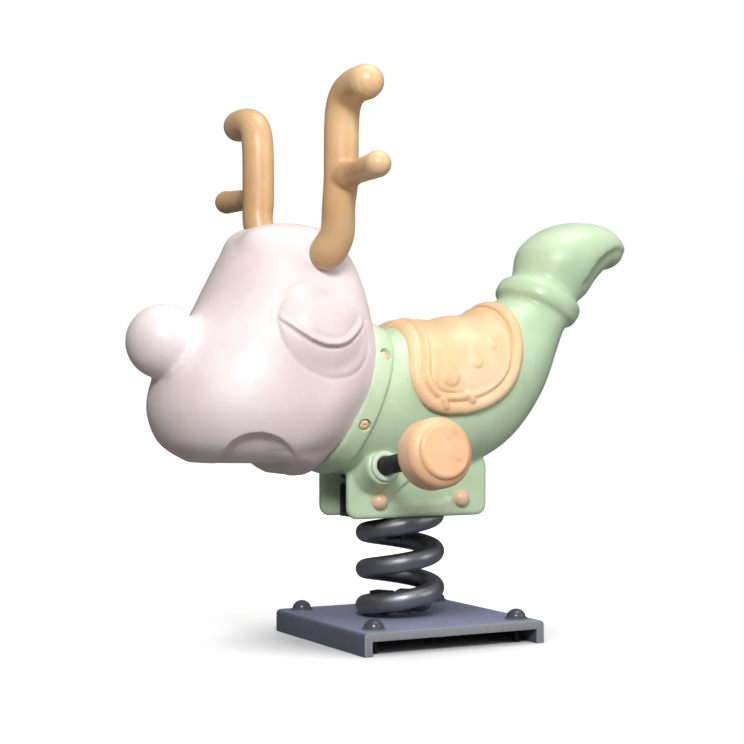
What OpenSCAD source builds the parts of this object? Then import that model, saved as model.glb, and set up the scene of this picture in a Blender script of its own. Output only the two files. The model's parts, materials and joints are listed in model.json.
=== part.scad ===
// Spring rider: a sleepy deer on one thick coil spring.
// +X is forward, +Y is the rider's left, +Z is up, and the origin is the base's centre on the ground.

/* [Base] */
// Length of the base channel, front to rear
base_l = 300; // [260:5:420]
// Width of the base channel, side to side
base_w = 300; // [260:5:420]
// Height of the base channel over the ground
base_h = 34; // [30:1:60]
// Thickness of the base's plate and legs
base_t = 13; // [6:0.5:14]
// Outer radius of the base's bends
base_bend_r = 7; // [3:0.5:10]
// Distance from the base's edge to an anchor bolt
anchor_inset = 30; // [26:1:45]
// Diameter of an anchor bolt's shank
anchor_d = 10; // [8:0.5:12]
// Diameter of an anchor bolt's domed cap
anchor_cap_d = 29; // [26:1:40]
// Height of an anchor bolt's domed cap
anchor_cap_h = 13; // [11:0.5:20]

/* [Spring] */
// Distance from the base's centre forward to the spring's axis
spring_x = 12; // [0:1:20]
// Diameter of the spring's wire
wire_d = 29; // [20:0.5:32]
// Mean diameter of the coil
coil_d = 106; // [100:1:130]
// Rise of the coil in one turn
coil_pitch = 55.4; // [45:0.2:70]
// Clear height from the base to the bracket's web
spring_h = 151; // [130:1:200]
// Turn of flat end coil that lies on the base, in degrees
dead_turn = 132; // [100:2:160]

/* [Clamps] */
// Width of a hook clamp
clamp_w = 22; // [18:1:28]
// Diameter of a clamp's bolt
clamp_bolt_d = 10; // [8:1:10]

/* [Bracket] */
// Length of the bracket's channel
bracket_l = 176; // [172:2:220]
// Thickness of the bracket's steel
bracket_t = 6; // [4:0.5:8]
// Height of the bracket's legs
bracket_h = 48; // [44:1:52]
// Diameter of a cross bolt
mount_bolt_d = 10; // [8:0.5:11]
// Height of the cross bolts over the cheek plates' lower edge
mount_bolt_z = 27; // [22:0.5:29]
// Distance from the base's centre forward to the front cross bolt
mount_front_x = 75; // [66:1:80]
// Distance from the base's centre back to the rear cross bolt
mount_rear_x = 65; // [58:1:80]
// Diameter of a cross bolt's domed cap
bolt_cap_d = 26; // [24:1:32]
// Height of a cross bolt's domed cap
bolt_cap_h = 12; // [11:0.5:16]

/* [Body] */
// Wall of the hollow mouldings
wall = 6; // [4:0.5:8]
// Half width of the collar round the neck
collar_r = 113; // [111:0.5:120]
// How much taller than wide the collar is, on the radius
collar_rise = 9; // [4:0.5:12]
// Width of the collar band
collar_w = 34; // [30:1:40]
// Distance between the cheek plates
cheek_gap = 76; // [72:1:82]
// Thickness of a cheek plate
cheek_t = 14; // [12:0.5:18]
// Distance from the base's centre forward to the cheek plates' front edge
cheek_front_x = 126; // [118:1:132]
// Distance from the base's centre back to the cheek plates' rear edge
cheek_rear_x = 112; // [106:1:120]
// Height of the cheek plates
cheek_h = 92; // [86:1:96]
// Corner radius of the cheek plates
cheek_r = 17; // [10:1:20]

/* [Foot pegs] */
// Distance from the base's centre forward to the pegs
peg_x = 85; // [78:1:90]
// Height of a peg's axis where it leaves its boss
peg_z = 264; // [258:0.5:268]
// Slope of a peg, in degrees
peg_slope = 9; // [4:0.5:10]
// Diameter of a peg's steel rod
peg_d = 18; // [14:1:20]
// Outer diameter of a peg's sleeve
sleeve_d = 27; // [25:0.5:32]
// Outer diameter of a peg's boss
boss_d = 50; // [46:1:54]
// Distance from the middle plane to a boss's outer face
boss_y = 84; // [80:1:88]
// Free length of a sleeve
sleeve_l = 124; // [104:2:140]
// Diameter of a peg's end knob
knob_d = 99; // [80:1:110]
// Thickness of a peg's end knob
knob_t = 54; // [46:1:60]
// Diameter of the raised disc on a knob's face
knob_face_d = 78; // [56:1:80]

/* [Head] */
// Length of the head at its widest
head_l = 330; // [310:2:350]
// Width of the head at its widest
head_w = 278; // [264:2:300]
// Radius of the ball nose
nose_r = 52; // [44:1:58]
// Radius of an eyeball
eye_r = 110; // [100:1:120]
// Radius of an upper lid
lid_r = 72; // [70:0.5:74]
// Radius of the neck that plugs into the collar
neck_r = 96; // [90:0.5:98]
// Length of the neck inside the collar
neck_l = 44; // [40:1:50]

/* [Antlers] */
// Radius of an antler's shaft
antler_r = 24.5; // [20:0.5:26]
// Distance from an antler's pad out to its shaft
antler_out = 44; // [40:1:52]
// Height of the bend at an antler's top
antler_z = 794; // [760:2:810]
// Distance from an antler's shaft out to the tip of its arm
antler_arm = 77; // [66:1:92]
// Distance from an antler's shaft out to its prong's tip
prong_l = 118; // [100:1:130]
// Diameter of an antler's stud
stud_d = 12; // [8:1:14]

/* [Saddle] */
// Thickness of the saddle
saddle_t = 9; // [6:0.5:12]
// How far the saddle's flaps reach round the body, in degrees from the top
saddle_reach = 99; // [84:1:104]

/* [Hidden] */
$fn = 48;
// running gap between pieces of different bodies
gap = 0.3;
// clearance of a bolt in its hole, on the radius
bolt_clear = 0.3;
// clearance of a plug in its socket, on the radius
plug_clear = 0.4;
// overlap that lets a cut run past a face
past = 1;

green = "#B8D3B3";
peach = "#F6D3A4";
tan_brown = "#DDB582";
pink_white = "#EDE3E6";
dark_grey = "#5D5E6C";
charcoal = "#2E2E33";
steel = "#A9ADB2";

sides = [1, -1];

// Curves and lofts
function unit(v) = v / norm(v);

// Catmull-Rom value between rows p1 and p2
function cubic(p0, p1, p2, p3, t) =
    p1 + t / 2 * (p2 - p0 + t * (2 * p0 - 5 * p1 + 4 * p2 - p3 + t * (3 * (p1 - p2) + p3 - p0)));

// Row of a table of stations at place s, counted in rows from 0
function station(table, s) =
    let (last = len(table) - 1, i = min(floor(s), last - 1))
    cubic(table[max(i - 1, 0)], table[i], table[i + 1], table[min(i + 2, last)], s - i);

// Rounded unit section: 2 is an ellipse, and more is squarer
function power(v, e) = sign(v) * pow(abs(v), 2 / e);

// Faces of a tube through m rings of n points, closed by a fan on a middle point at each end
function tube_faces(m, n) = concat(
    [for (i = [0 : m - 2], j = [0 : n - 1])
        let (a = i * n + j, b = i * n + (j + 1) % n)
        each [[a, a + n, b], [b, a + n, b + n]]],
    [for (j = [0 : n - 1]) [j, (j + 1) % n, m * n]],
    [for (j = [0 : n - 1]) let (k = (m - 1) * n) [k + (j + 1) % n, k + j, m * n + 1]]);

function middle(points) = [for (p = points) 1] * points / len(points);

// Closed solid through rings of points, the way that the rings run
module loft(rings) {
    last = len(rings) - 1;
    polyhedron([each for (r = rings) r, middle(rings[0]), middle(rings[last])],
        tube_faces(len(rings), len(rings[0])));
}

// Rings of a round tube along points [x, y, z, radius], with a round far end
function round_tube(path, n, cap = [25, 50, 75]) =
    let (last = len(path) - 1,
        centre = [for (p = path) [p[0], p[1], p[2]]],
        along = [for (i = [0 : last]) unit(centre[min(i + 1, last)] - centre[max(i - 1, 0)])],
        end_r = path[last][3])
    concat(
        [for (i = [0 : last]) circle_ring(centre[i], along[i], path[i][3], n)],
        [for (a = cap)
            circle_ring(centre[last] + along[last] * end_r * sin(a), along[last], end_r * cos(a), n)]);

function circle_ring(c, along, r, n) =
    let (u = unit(cross(along, [1, 0, 0])), v = cross(along, u))
    [for (j = [0 : n - 1]) c + r * (cos(360 * j / n) * u + sin(360 * j / n) * v)];

// Bolts, nuts and caps, standing on z = 0
module hex_bolt(d, l) {
    translate([0, 0, -l])
        cylinder(d = d, h = l);
    cylinder(d = hex_size * d, h = head_size * d, $fn = 6);
}

module hex_nut(d, h) {
    difference() {
        cylinder(d = hex_size * d, h = h, $fn = 6);
        translate([0, 0, -past])
            cylinder(r = d / 2 + thread_clear, h = h + 2 * past);
    }
}

// Hollow domed cap over a hexagon of bolt size d and height hex_h
module dome_cap(cap_d, cap_h, d, hex_h) {
    difference() {
        rotate_extrude()
            dome_half(cap_d / 2, cap_h);
        translate([0, 0, -past])
            cylinder(r = hex_size * d / 2 + gap, h = hex_h + gap + past);
    }
}

module dome_half(r, h) {
    rim = 0.18 * h;
    rise = h - rim;
    ball = (r * r + rise * rise) / (2 * rise);
    square([r, rim]);
    intersection() {
        translate([0, rim + rise - ball])
            circle(r = ball, $fn = 96);
        translate([0, rim])
            square([r, rise]);
    }
}

thread_clear = 0.15;
// hexagon across its corners, and heights of heads and nuts, in bolt diameters
hex_size = 1.8;
head_size = 0.6;
nut_size = 0.8;
sunk_size = 1.8;
sunk_h = 0.4;

// Base
plate_z = base_h - base_t;
anchor_x = base_l / 2 - anchor_inset;
anchor_y = base_w / 2 - anchor_inset;
washer_t = 2.5;
washer_d = anchor_cap_d + 5;
// the shank in the plate is thicker than the thread that goes into the ground anchor
anchor_shank_d = anchor_d + 1;
shank_out = 3;

module at_anchors(z) {
    for (x = [-anchor_x, anchor_x], y = [-anchor_y, anchor_y])
        translate([x, y, z])
            children();
}

module base_section() {
    bend = base_bend_r;
    difference() {
        union() {
            translate([-base_l / 2, 0])
                square([base_l, base_h - bend]);
            translate([-base_l / 2 + bend, 0])
                square([base_l - 2 * bend, base_h]);
            for (s = sides)
                translate([s * (base_l / 2 - bend), base_h - bend])
                    circle(r = bend);
        }
        translate([-base_l / 2 + base_t, -past])
            square([base_l - 2 * base_t, plate_z + past]);
    }
}

module base_plate() {
    color(dark_grey)
        difference() {
            rotate([90, 0, 0])
                linear_extrude(base_w, center = true)
                    base_section();
            at_anchors(plate_z - past)
                cylinder(r = anchor_shank_d / 2 + bolt_clear, h = base_t + 2 * past);
            at_clamps(lower_clamp_at)
                translate([clamp_bolt_x, 0, plate_z - past])
                    cylinder(r = clamp_bolt_d / 2 + bolt_clear, h = base_t + 2 * past);
        }
}

module anchor_bolts() {
    color(steel)
        at_anchors(base_h + washer_t) {
            hex_bolt(anchor_d, base_h + washer_t);
            mirror([0, 0, 1])
                cylinder(d = anchor_shank_d, h = washer_t + base_t + shank_out);
        }
}

module anchor_washers() {
    color(charcoal)
        at_anchors(base_h)
            difference() {
                cylinder(d = washer_d, h = washer_t);
                translate([0, 0, -past])
                    cylinder(r = anchor_shank_d / 2 + bolt_clear, h = washer_t + 2 * past);
            }
}

module anchor_caps() {
    color(dark_grey)
        at_anchors(base_h + washer_t)
            dome_cap(anchor_cap_d, anchor_cap_h, anchor_d, head_size * anchor_d);
}

// Spring
wire_r = wire_d / 2;
coil_r = coil_d / 2;
coil_start = -28;
web_z = base_h + spring_h;
wire_low_z = base_h + gap + wire_r;
tip_t = 3;
turn_steps = 26;
wire_n = 10;
rise_turns = (spring_h - 2 * gap - tip_t) / coil_pitch;
spring_steps = ceil(turn_steps * (rise_turns + dead_turn / 360));
spring_turn = [for (i = [0 : spring_steps]) -dead_turn + (360 * rise_turns + dead_turn) * i / spring_steps];

function wire_z(turn) = wire_low_z + coil_pitch * lead(turn) / 360;
// The flat end coil runs into the slope over the lead-in
lead_in = 30;
function lead(turn) = turn < -lead_in ? 0 : turn > lead_in ? turn : pow(turn + lead_in, 2) / (4 * lead_in);
function wire_at(turn) = [coil_r * cos(turn + coil_start), coil_r * sin(turn + coil_start), wire_z(turn)];

// Section of the wire, ground flat at the bracket's web
function wire_ring(turn) =
    let (c = wire_at(turn),
        out = [cos(turn + coil_start), sin(turn + coil_start), 0],
        room = (web_z - gap - c[2]) / wire_r,
        half = min(180 * (1 - 1 / wire_n), room >= 1 ? 180 : acos(-room)))
    [for (j = [0 : wire_n - 1])
        let (a = -90 + half * (1 - 2 * j / (wire_n - 1)))
        c + wire_r * (cos(a) * out + sin(a) * [0, 0, 1])];

// Least gap of the wire to itself, between points more than half a turn apart
wire_points = [for (t = spring_turn) wire_at(t)];
half_turn = turn_steps / 2;
wire_gap = min([for (i = [0 : spring_steps], j = [0 : spring_steps])
    if (j - i > half_turn) norm(wire_points[j] - wire_points[i])]) - wire_d;
echo(least_gap_of_the_spring_wire = wire_gap);

module spring() {
    color(charcoal)
        translate([spring_x, 0, 0])
            loft([for (t = spring_turn) wire_ring(t)]);
}

// Hook clamps: a block inside the coil whose nose holds the wire's inner side
clamp_back_r = 17;
clamp_front_r = sqrt(pow(coil_r - wire_r - gap, 2) - pow(clamp_w / 2, 2));
clamp_nose_r = coil_r - 5;
clamp_nose_t = 5;
clamp_bolt_x = (clamp_back_r + clamp_front_r) / 2;
lower_clamp_at = [-62, -132];
upper_clamp_at = [48, 180];
nose_drop = sqrt(wire_r * wire_r - pow(coil_r - clamp_nose_r, 2));
// How far the wire climbs over half a clamp's width
clamp_climb = coil_pitch * clamp_w / 2 / (PI * 2 * clamp_front_r);

module at_clamp(angle) {
    translate([spring_x, 0, 0])
        rotate(angle)
            children();
}

module at_clamps(angles) {
    for (a = angles)
        at_clamp(a)
            children();
}

// Height of the lower clamps' nose over the base
lower_nose_z = wire_low_z - base_h + wire_r + gap;

module hook(h) {
    difference() {
        union() {
            translate([clamp_back_r, -clamp_w / 2, 0])
                cube([clamp_front_r - clamp_back_r, clamp_w, h + clamp_nose_t]);
            translate([clamp_back_r, -clamp_w / 2, h])
                cube([clamp_nose_r - clamp_back_r, clamp_w, clamp_nose_t]);
        }
        translate([clamp_bolt_x, 0, h + clamp_nose_t])
            sunk_bolt(clamp_bolt_d, h + clamp_nose_t + past, bolt_clear);
    }
}

// Height of the wire's lower side at an angle on the top turn
function top_turn(angle) = angle - coil_start + 360 * floor(rise_turns - (angle - coil_start) / 360);
function upper_nose(angle) = web_z - wire_z(top_turn(angle)) + wire_r + clamp_climb + gap;

module lower_clamps() {
    color(charcoal)
        at_clamps(lower_clamp_at)
            translate([0, 0, base_h])
                hook(lower_nose_z);
}

module lower_clamp_bolts() {
    l = lower_nose_z + clamp_nose_t + base_t + washer_t + clamp_bolt_d;
    color(steel)
        at_clamps(lower_clamp_at)
            translate([clamp_bolt_x, 0, base_h + lower_nose_z + clamp_nose_t])
                sunk_bolt(clamp_bolt_d, l);
}

// Bolt with a sunk head, flush with z = 0
module sunk_bolt(d, l, room = 0) {
    translate([0, 0, -l])
        cylinder(r = d / 2 + room, h = l);
    translate([0, 0, -sunk_h * d])
        cylinder(r1 = d / 2 + room, r2 = sunk_size * d / 2 + room, h = sunk_h * d);
}

module lower_clamp_nuts() {
    color(steel)
        at_clamps(lower_clamp_at)
            translate([clamp_bolt_x, 0, plate_z])
                mirror([0, 0, 1])
                    hex_nut(clamp_bolt_d, nut_size * clamp_bolt_d);
}

module upper_clamps() {
    color(charcoal)
        for (a = upper_clamp_at)
            at_clamp(a)
                translate([0, 0, web_z])
                    mirror([0, 0, 1])
                        hook(upper_nose(a));
}

module upper_clamp_bolts() {
    color(steel)
        for (a = upper_clamp_at) {
            head_z = upper_nose(a) + clamp_nose_t;
            at_clamp(a)
                translate([clamp_bolt_x, 0, web_z - head_z])
                    mirror([0, 0, 1])
                        sunk_bolt(clamp_bolt_d, head_z + bracket_t + clamp_bolt_d);
        }
}

module upper_clamp_nuts() {
    color(steel)
        at_clamps(upper_clamp_at)
            translate([clamp_bolt_x, 0, web_z + bracket_t])
                hex_nut(clamp_bolt_d, nut_size * clamp_bolt_d);
}

// Bracket and cross bolts
mount_z = web_z + mount_bolt_z;
// thin nuts, as low as the bolts' heads, so that all the caps are alike
mount_nut_h = head_size * mount_bolt_d;
mount_x = [mount_front_x, -mount_rear_x];
cheek_out = cheek_gap / 2 + cheek_t;
bracket_out = cheek_gap / 2 - gap;
bracket_x = (cheek_front_x - cheek_rear_x - bracket_l) / 2;

module at_mounts() {
    for (x = mount_x)
        translate([x, 0, mount_z])
            children();
}

module cross_hole(clear) {
    rotate([90, 0, 0])
        cylinder(r = mount_bolt_d / 2 + clear, h = 2 * cheek_out + 2 * past, center = true);
}

module top_bracket() {
    color(steel)
        difference() {
            translate([bracket_x, -bracket_out, web_z])
                cube([bracket_l, 2 * bracket_out, bracket_h]);
            translate([bracket_x - past, -bracket_out + bracket_t, web_z + bracket_t])
                cube([bracket_l + 2 * past, 2 * (bracket_out - bracket_t), bracket_h]);
            at_mounts()
                cross_hole(bolt_clear);
            at_clamps(upper_clamp_at)
                translate([clamp_bolt_x, 0, web_z - past])
                    cylinder(r = clamp_bolt_d / 2 + bolt_clear, h = bracket_t + 2 * past);
        }
}

module mount_bolts() {
    color(steel)
        at_mounts()
            translate([0, cheek_out, 0])
                rotate([-90, 0, 0])
                    hex_bolt(mount_bolt_d, 2 * cheek_out + mount_nut_h);
}

module mount_nuts() {
    color(steel)
        at_mounts()
            translate([0, -cheek_out, 0])
                rotate([90, 0, 0])
                    hex_nut(mount_bolt_d, mount_nut_h);
}

module bolt_caps() {
    color(peach)
        at_mounts()
            for (s = sides)
                translate([0, s * cheek_out, 0])
                    rotate([-s * 90, 0, 0])
                        dome_cap(bolt_cap_d, bolt_cap_h, mount_bolt_d, mount_nut_h);
}

// Body: stations along the middle line, from the collar to the tail's tip
collar_lean = 22;
collar_c = [129, 0, 368];
collar_out = [cos(collar_lean), 0, sin(collar_lean)];
groove = 6;
collar_edge = 4;
neck_in = collar_r - groove;

// x, z, lean of the section in degrees, half height, half width
function collar_row(back, r) = [collar_c[0] - back * cos(collar_lean), collar_c[2] - back * sin(collar_lean),
    collar_lean, r + collar_rise, r];

body_table = [
    collar_row(0, collar_r - collar_edge),
    collar_row(collar_edge, collar_r),
    collar_row(collar_w - collar_edge, collar_r),
    collar_row(collar_w, neck_in),
    [34, 361, 12, 117, 109],
    [-45, 362, 0, 114, 110],
    [-110, 384, -22, 106, 103],
    [-162, 424, -42, 85, 90],
    [-202, 471, -55, 64, 73],
    [-225, 496, -61, 55, 62],
    [-231.6, 506.4, -62, 64, 70],
    [-242.6, 523.4, -62, 64, 70],
    [-250, 536, -62, 53, 60],
    [-269, 567, -52, 64, 70],
    [-302, 592, -30, 55, 73],
    [-345, 604, -8, 38, 64],
    [-374, 596, 8, 24, 46],
    [-386, 592, 12, 8, 18]];

body_n = 32;
body_e = 2.15;

function body_point(row, grow, a) =
    let (lean = row[2],
        up = (row[3] + grow) * power(cos(a), body_e),
        side = (row[4] + grow) * power(sin(a), body_e))
    [row[0] - up * sin(lean), side, row[1] + up * cos(lean)];

// The tail's flanks are hollowed under a rim that rises towards the tip
scoop_first = 12.5;
scoop_full = 13.2;
scoop_depth = 0.3;
// half angle of the hollowed part, and how much it widens with each station
scoop_angle = 70;
scoop_spread = 10;
function scoop_half(s) = scoop_angle + scoop_spread * max(0, s - scoop_full);
function scoop(s, a) =
    let (along = max(0, min(1, (s - scoop_first) / (scoop_full - scoop_first))),
        across = min(1, abs(a - 180) / scoop_half(s)))
    scoop_depth * along * pow(across, 1.5) * (1 - pow(across, 10));

function body_ring(s, grow, n) =
    let (row = station(body_table, s))
    [for (j = [0 : n - 1])
        let (a = 360 * j / n)
        body_point(row, grow - scoop(s, a) * row[3], a)];

body_last = len(body_table) - 1;
fine = 3;
body_rings = [for (i = [0 : fine * body_last]) body_ring(i / fine, 0, body_n)];

// The hollow ends short of the tail's tip, and behind the collar's socket
hollow_first = 3;
hollow_last = 14;
hollow_rings = [for (s = [hollow_first : hollow_last]) body_ring(s, -wall, 20)];

module collar_frame() {
    translate(collar_c)
        rotate([0, 90 - collar_lean, 0])
            children();
}

module cheek_outline() {
    x0 = -cheek_rear_x;
    l = cheek_front_x + cheek_rear_x;
    translate([x0 + cheek_r, 0])
        square([l - 2 * cheek_r, cheek_h]);
    translate([x0, cheek_r])
        square([l, cheek_h - 2 * cheek_r]);
    for (x = [x0 + cheek_r, x0 + l - cheek_r], z = [cheek_r, cheek_h - cheek_r])
        translate([x, z])
            circle(r = cheek_r);
}

module cheeks() {
    for (s = sides)
        translate([0, s * (cheek_gap + cheek_t) / 2, web_z])
            rotate([90, 0, 0])
                linear_extrude(cheek_t, center = true)
                    cheek_outline();
}

// Frame of a foot peg: z runs outward along the peg from the boss's face
module peg_frame(s) {
    translate([peg_x, s * boss_y, peg_z])
        rotate([-s * (90 - peg_slope), 0, 0])
            children();
}

// A boss ends at the cheek plate's inner face, where the rod's nut sits in a pocket
boss_in = (boss_y - cheek_gap / 2) / cos(peg_slope);
peg_nut_h = head_size * peg_d;
peg_in = boss_in + peg_nut_h + 4;
pocket_r = hex_size * peg_d / 2 + 1;
pocket_l = peg_nut_h + 8;
socket_l = neck_l + 6;

module body_shell() {
    color(green)
        difference() {
            union() {
                difference() {
                    union() {
                        loft(body_rings);
                        cheeks();
                    }
                    loft(hollow_rings);
                }
                for (s = sides)
                    peg_frame(s)
                        translate([0, 0, -boss_in])
                            cylinder(d = boss_d, h = boss_in);
            }
            collar_frame()
                translate([0, 0, -socket_l])
                    cylinder(r = neck_r + plug_clear, h = socket_l + past);
            for (s = sides)
                peg_frame(s) {
                    translate([0, 0, -boss_in - past])
                        cylinder(r = peg_d / 2 + bolt_clear, h = boss_in + 2 * past);
                    translate([0, 0, -boss_in - pocket_l])
                        cylinder(r = pocket_r, h = pocket_l);
                }
            at_mounts()
                cross_hole(bolt_clear);
            at_collar_screws()
                collar_screw_room();
        }
}

// Saddle: a patch of the body's own surface, thickened
saddle_first = 3.55;
saddle_last = 8.1;
// place of the widest row, and shares of the reach that are left at the front and the rear edge
saddle_wide = 0.23;
saddle_front = 0.6;
saddle_rear = 0.08;
// how late and how roundly the flaps taper to the rear end
saddle_taper = 3.2;
saddle_round = 0.65;
// the seat's clearance lets the saddle's facets pass the body's
saddle_gap = 1.1;
saddle_rows = [0, 0.02, 0.05, 0.09, 0.14, 0.22, 0.33, 0.45, 0.57, 0.68, 0.77, 0.84, 0.9, 0.95, 0.98, 1];
saddle_cols = [each [0 : 0.09 : 0.72], 0.78, 0.84, 0.88, 0.92, 0.96, 1];
saddle_side = len(saddle_cols) - 1;

// Share of the full reach at a row: a full flap in front that tapers to a round rear end
function saddle_share(v) = v < saddle_wide
    ? saddle_front + (1 - saddle_front) * sqrt(1 - pow(1 - v / saddle_wide, 2))
    : saddle_rear + (1 - saddle_rear) * pow(1 - pow(from_wide(v), saddle_taper), saddle_round);
function from_wide(v) = (v - saddle_wide) / (1 - saddle_wide);
// Rolled border: full at the roll's top, lower at the rim and lowest on the seat inside it
roll_top = 0.06;
roll_in = 0.14;
rim_share = 0.75;
seat_share = 0.62;
function rolled(d) = d < roll_top ? rim_share + (1 - rim_share) * sin(90 * d / roll_top)
    : d < roll_in ? seat_share + (1 - seat_share) * cos(90 * (d - roll_top) / (roll_in - roll_top))
    : seat_share;

function saddle_ring(v) =
    let (s = saddle_first + (saddle_last - saddle_first) * v,
        row = station(body_table, s),
        reach = saddle_reach * saddle_share(v),
        cols = [for (j = [-saddle_side : saddle_side]) sign(j) * saddle_cols[abs(j)]],
        from_end = min(v, 1 - v))
    concat(
        [for (c = cols)
            let (t = saddle_t * rolled(min(from_end, (1 - abs(c)) / 2)))
            body_point(row, saddle_gap + t, c * reach)],
        [for (k = [len(cols) - 1 : -1 : 0]) body_point(row, saddle_gap, cols[k] * reach)]);

module saddle() {
    color(peach)
        loft([for (v = saddle_rows) saddle_ring(v)]);
}

// Head: level stations from the jaw to the crown
// height, middle x, half length and half width as shares of the widest
head_table = [
    [258, 236, 0.30, 0.28],
    [263, 237, 0.52, 0.48],
    [277, 239, 0.74, 0.70],
    [302, 243, 0.92, 0.89],
    [345, 245, 1.00, 1.00],
    [390, 240, 0.985, 1.00],
    [435, 230, 0.90, 0.95],
    [480, 218, 0.785, 0.87],
    [530, 211, 0.67, 0.77],
    [576, 209, 0.53, 0.64],
    [606, 209, 0.36, 0.46],
    [618, 210, 0.14, 0.19]];
head_n = 36;
head_front_e = 2.1;
head_rear_e = 2.9;
head_last = len(head_table) - 1;

function head_ring(s, grow, n) =
    let (row = station(head_table, s),
        a = row[2] * head_l / 2 + grow,
        b = row[3] * head_w / 2 + grow)
    [for (j = [0 : n - 1])
        let (t = 360 * j / n, e = cos(t) > 0 ? head_front_e : head_rear_e)
        [row[1] + a * power(cos(t), e), b * power(sin(t), e), row[0]]];

head_fine = 3;
head_rings = [for (i = [0 : head_fine * head_last]) head_ring(i / head_fine, 0, head_n)];
// Mouth: an arch pressed into each side, with a flat floor under it
mouth_x = 290;
mouth_r = 55;
mouth_top = 318;
mouth_floor = 270;
mouth_floor_x = 282;
mouth_depth = 20;

// The head's hollow keeps clear of the mouth
head_hollow_rings = [for (s = [3, 3.5, each [4 : head_last - 2]])
    head_ring(s, s < 4 ? -mouth_depth - wall : -wall, 20)];

nose_c = [394, 0, 438];
eye_c = [208, 33, 440];
// way from an eye's centre to its lid's centre, and how steeply that runs up
lid_out = 50;
lid_up = 28;

module eye(s) {
    translate([eye_c[0], s * eye_c[1], eye_c[2]])
        sphere(r = eye_r);
}

// Upper lid: a smaller ball that stands out of the eye along a drooping edge
module lid(s) {
    translate([eye_c[0], s * (eye_c[1] + lid_out * cos(lid_up)), eye_c[2] + lid_out * sin(lid_up)])
        sphere(r = lid_r);
}

module mouth() {
    mouth_w = head_w + 2 * past;
    difference() {
        translate([mouth_x, 0, mouth_top - mouth_r])
            rotate([90, 0, 0])
                cylinder(r = mouth_r, h = mouth_w, center = true);
        loft([for (s = [1 : head_last - 2]) head_ring(s, -mouth_depth, 24)]);
    }
    translate([mouth_floor_x, -mouth_w / 2, mouth_floor - mouth_r])
        cube([head_l / 2, mouth_w, mouth_r]);
}

// Antlers: each sits on a pad on the head's side
pad_inset = 40;
pad_c = [188, head_w / 2 - pad_inset, 570];
pad_rise = 14;
pad_r = 23;
pad_flare = 20;
pad_in = 34;

// Frame of an antler's pad: z runs outward from the pad's face
module pad_frame(s) {
    translate([pad_c[0], s * pad_c[1], pad_c[2]])
        rotate([-s * (90 - pad_rise), 0, 0])
            children();
}

// The neck runs on into the head, and its outer part is a little smaller than the collar
neck_out = 60;
neck_step = 5;

module head_shell() {
    color(pink_white)
        difference() {
            union() {
                difference() {
                    union() {
                        loft(head_rings);
                        translate(nose_c)
                            sphere(r = nose_r);
                        for (s = sides) {
                            eye(s);
                            lid(s);
                        }
                        collar_frame()
                            cylinder(r = collar_r - neck_step, h = neck_out);
                    }
                    mouth();
                    collar_frame()
                        translate([0, 0, gap - head_l])
                            cylinder(r = head_l, h = head_l);
                    loft(head_hollow_rings);
                }
                for (s = sides)
                    pad_frame(s)
                        translate([0, 0, -pad_in])
                            cylinder(r1 = pad_r + pad_flare, r2 = pad_r, h = pad_in);
                collar_frame()
                    translate([0, 0, -neck_l])
                        cylinder(r = neck_r, h = neck_l + neck_out);
            }
            collar_frame()
                translate([0, 0, -neck_l - past])
                    cylinder(r = neck_r - wall, h = neck_l + 2 * neck_out);
            for (s = sides)
                pad_frame(s)
                    translate([0, 0, -pad_in - past])
                        cylinder(r = stud_d / 2 + bolt_clear, h = pad_in + 2 * past);
            at_collar_screws()
                collar_screw_pilot();
        }
}

// Collar screws, which go through the band into the neck
collar_screw_at = [48, 107, -48, -107];
collar_screw_d = 6;
collar_head_d = 15;
collar_head_t = 4;
collar_recess = 7;

// Frame of a collar screw: z runs outward from the band's middle line
module at_collar_screws() {
    for (a = collar_screw_at)
        translate(collar_c - collar_out * collar_w / 2)
            rotate([0, -collar_lean, 0])
                rotate([-a, 0, 0])
                    translate([0, 0, collar_r])
                        children();
}

module collar_screw_room() {
    translate([0, 0, -collar_recess])
        cylinder(r = collar_head_d / 2 + bolt_clear, h = collar_recess + 2 * past);
    translate([0, 0, neck_r - collar_r - past])
        cylinder(r = collar_screw_d / 2 + bolt_clear, h = collar_r - neck_r);
}

module collar_screw_pilot() {
    translate([0, 0, neck_r - wall - collar_r - past])
        cylinder(r = collar_screw_d / 2 + bolt_clear, h = wall + 2 * past);
}

module collar_screws() {
    l = collar_r - collar_recess - neck_r + wall + 4;
    color(peach)
        at_collar_screws()
            translate([0, 0, -collar_recess])
                rotate_extrude() {
                    dome_half(collar_head_d / 2, collar_head_t);
                    translate([0, -l])
                        square([collar_screw_d / 2, l + past]);
                }
}

// Antler path in the plane of its shaft: from the pad, up the shaft and out to the tip
shaft_x = 184;
antler_y = pad_c[1] + antler_out;
antler_tip_y = antler_y + antler_arm;
prong_tip_y = antler_y + prong_l;
prong_z = 672;
// length of the stud inside an antler, and the room that the pad's face cuts off its root
stud_out = 26;
root_room = 60;

function antler_path(s) =
    let (pad = [pad_c[0], s * pad_c[1], pad_c[2]],
        away = [0, s * cos(pad_rise), sin(pad_rise)],
        knots = [
            [each pad, antler_r],
            [each pad + 14 * away, antler_r + 1.5],
            [pad_c[0] - 6, s * (antler_y - 16), pad_c[2] + 26, antler_r],
            [shaft_x + 2, s * (antler_y - 3), pad_c[2] + 66, antler_r - 1],
            [shaft_x, s * antler_y, prong_z, antler_r],
            [shaft_x, s * (antler_y + 2), antler_z - 44, antler_r],
            [shaft_x, s * (antler_y + 14), antler_z - 12, antler_r],
            [shaft_x, s * (antler_y + 42), antler_z, antler_r],
            [shaft_x, s * antler_tip_y, antler_z + 1, antler_r]])
    [for (i = [0 : 0.25 : len(knots) - 1]) station(knots, i)];

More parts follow.
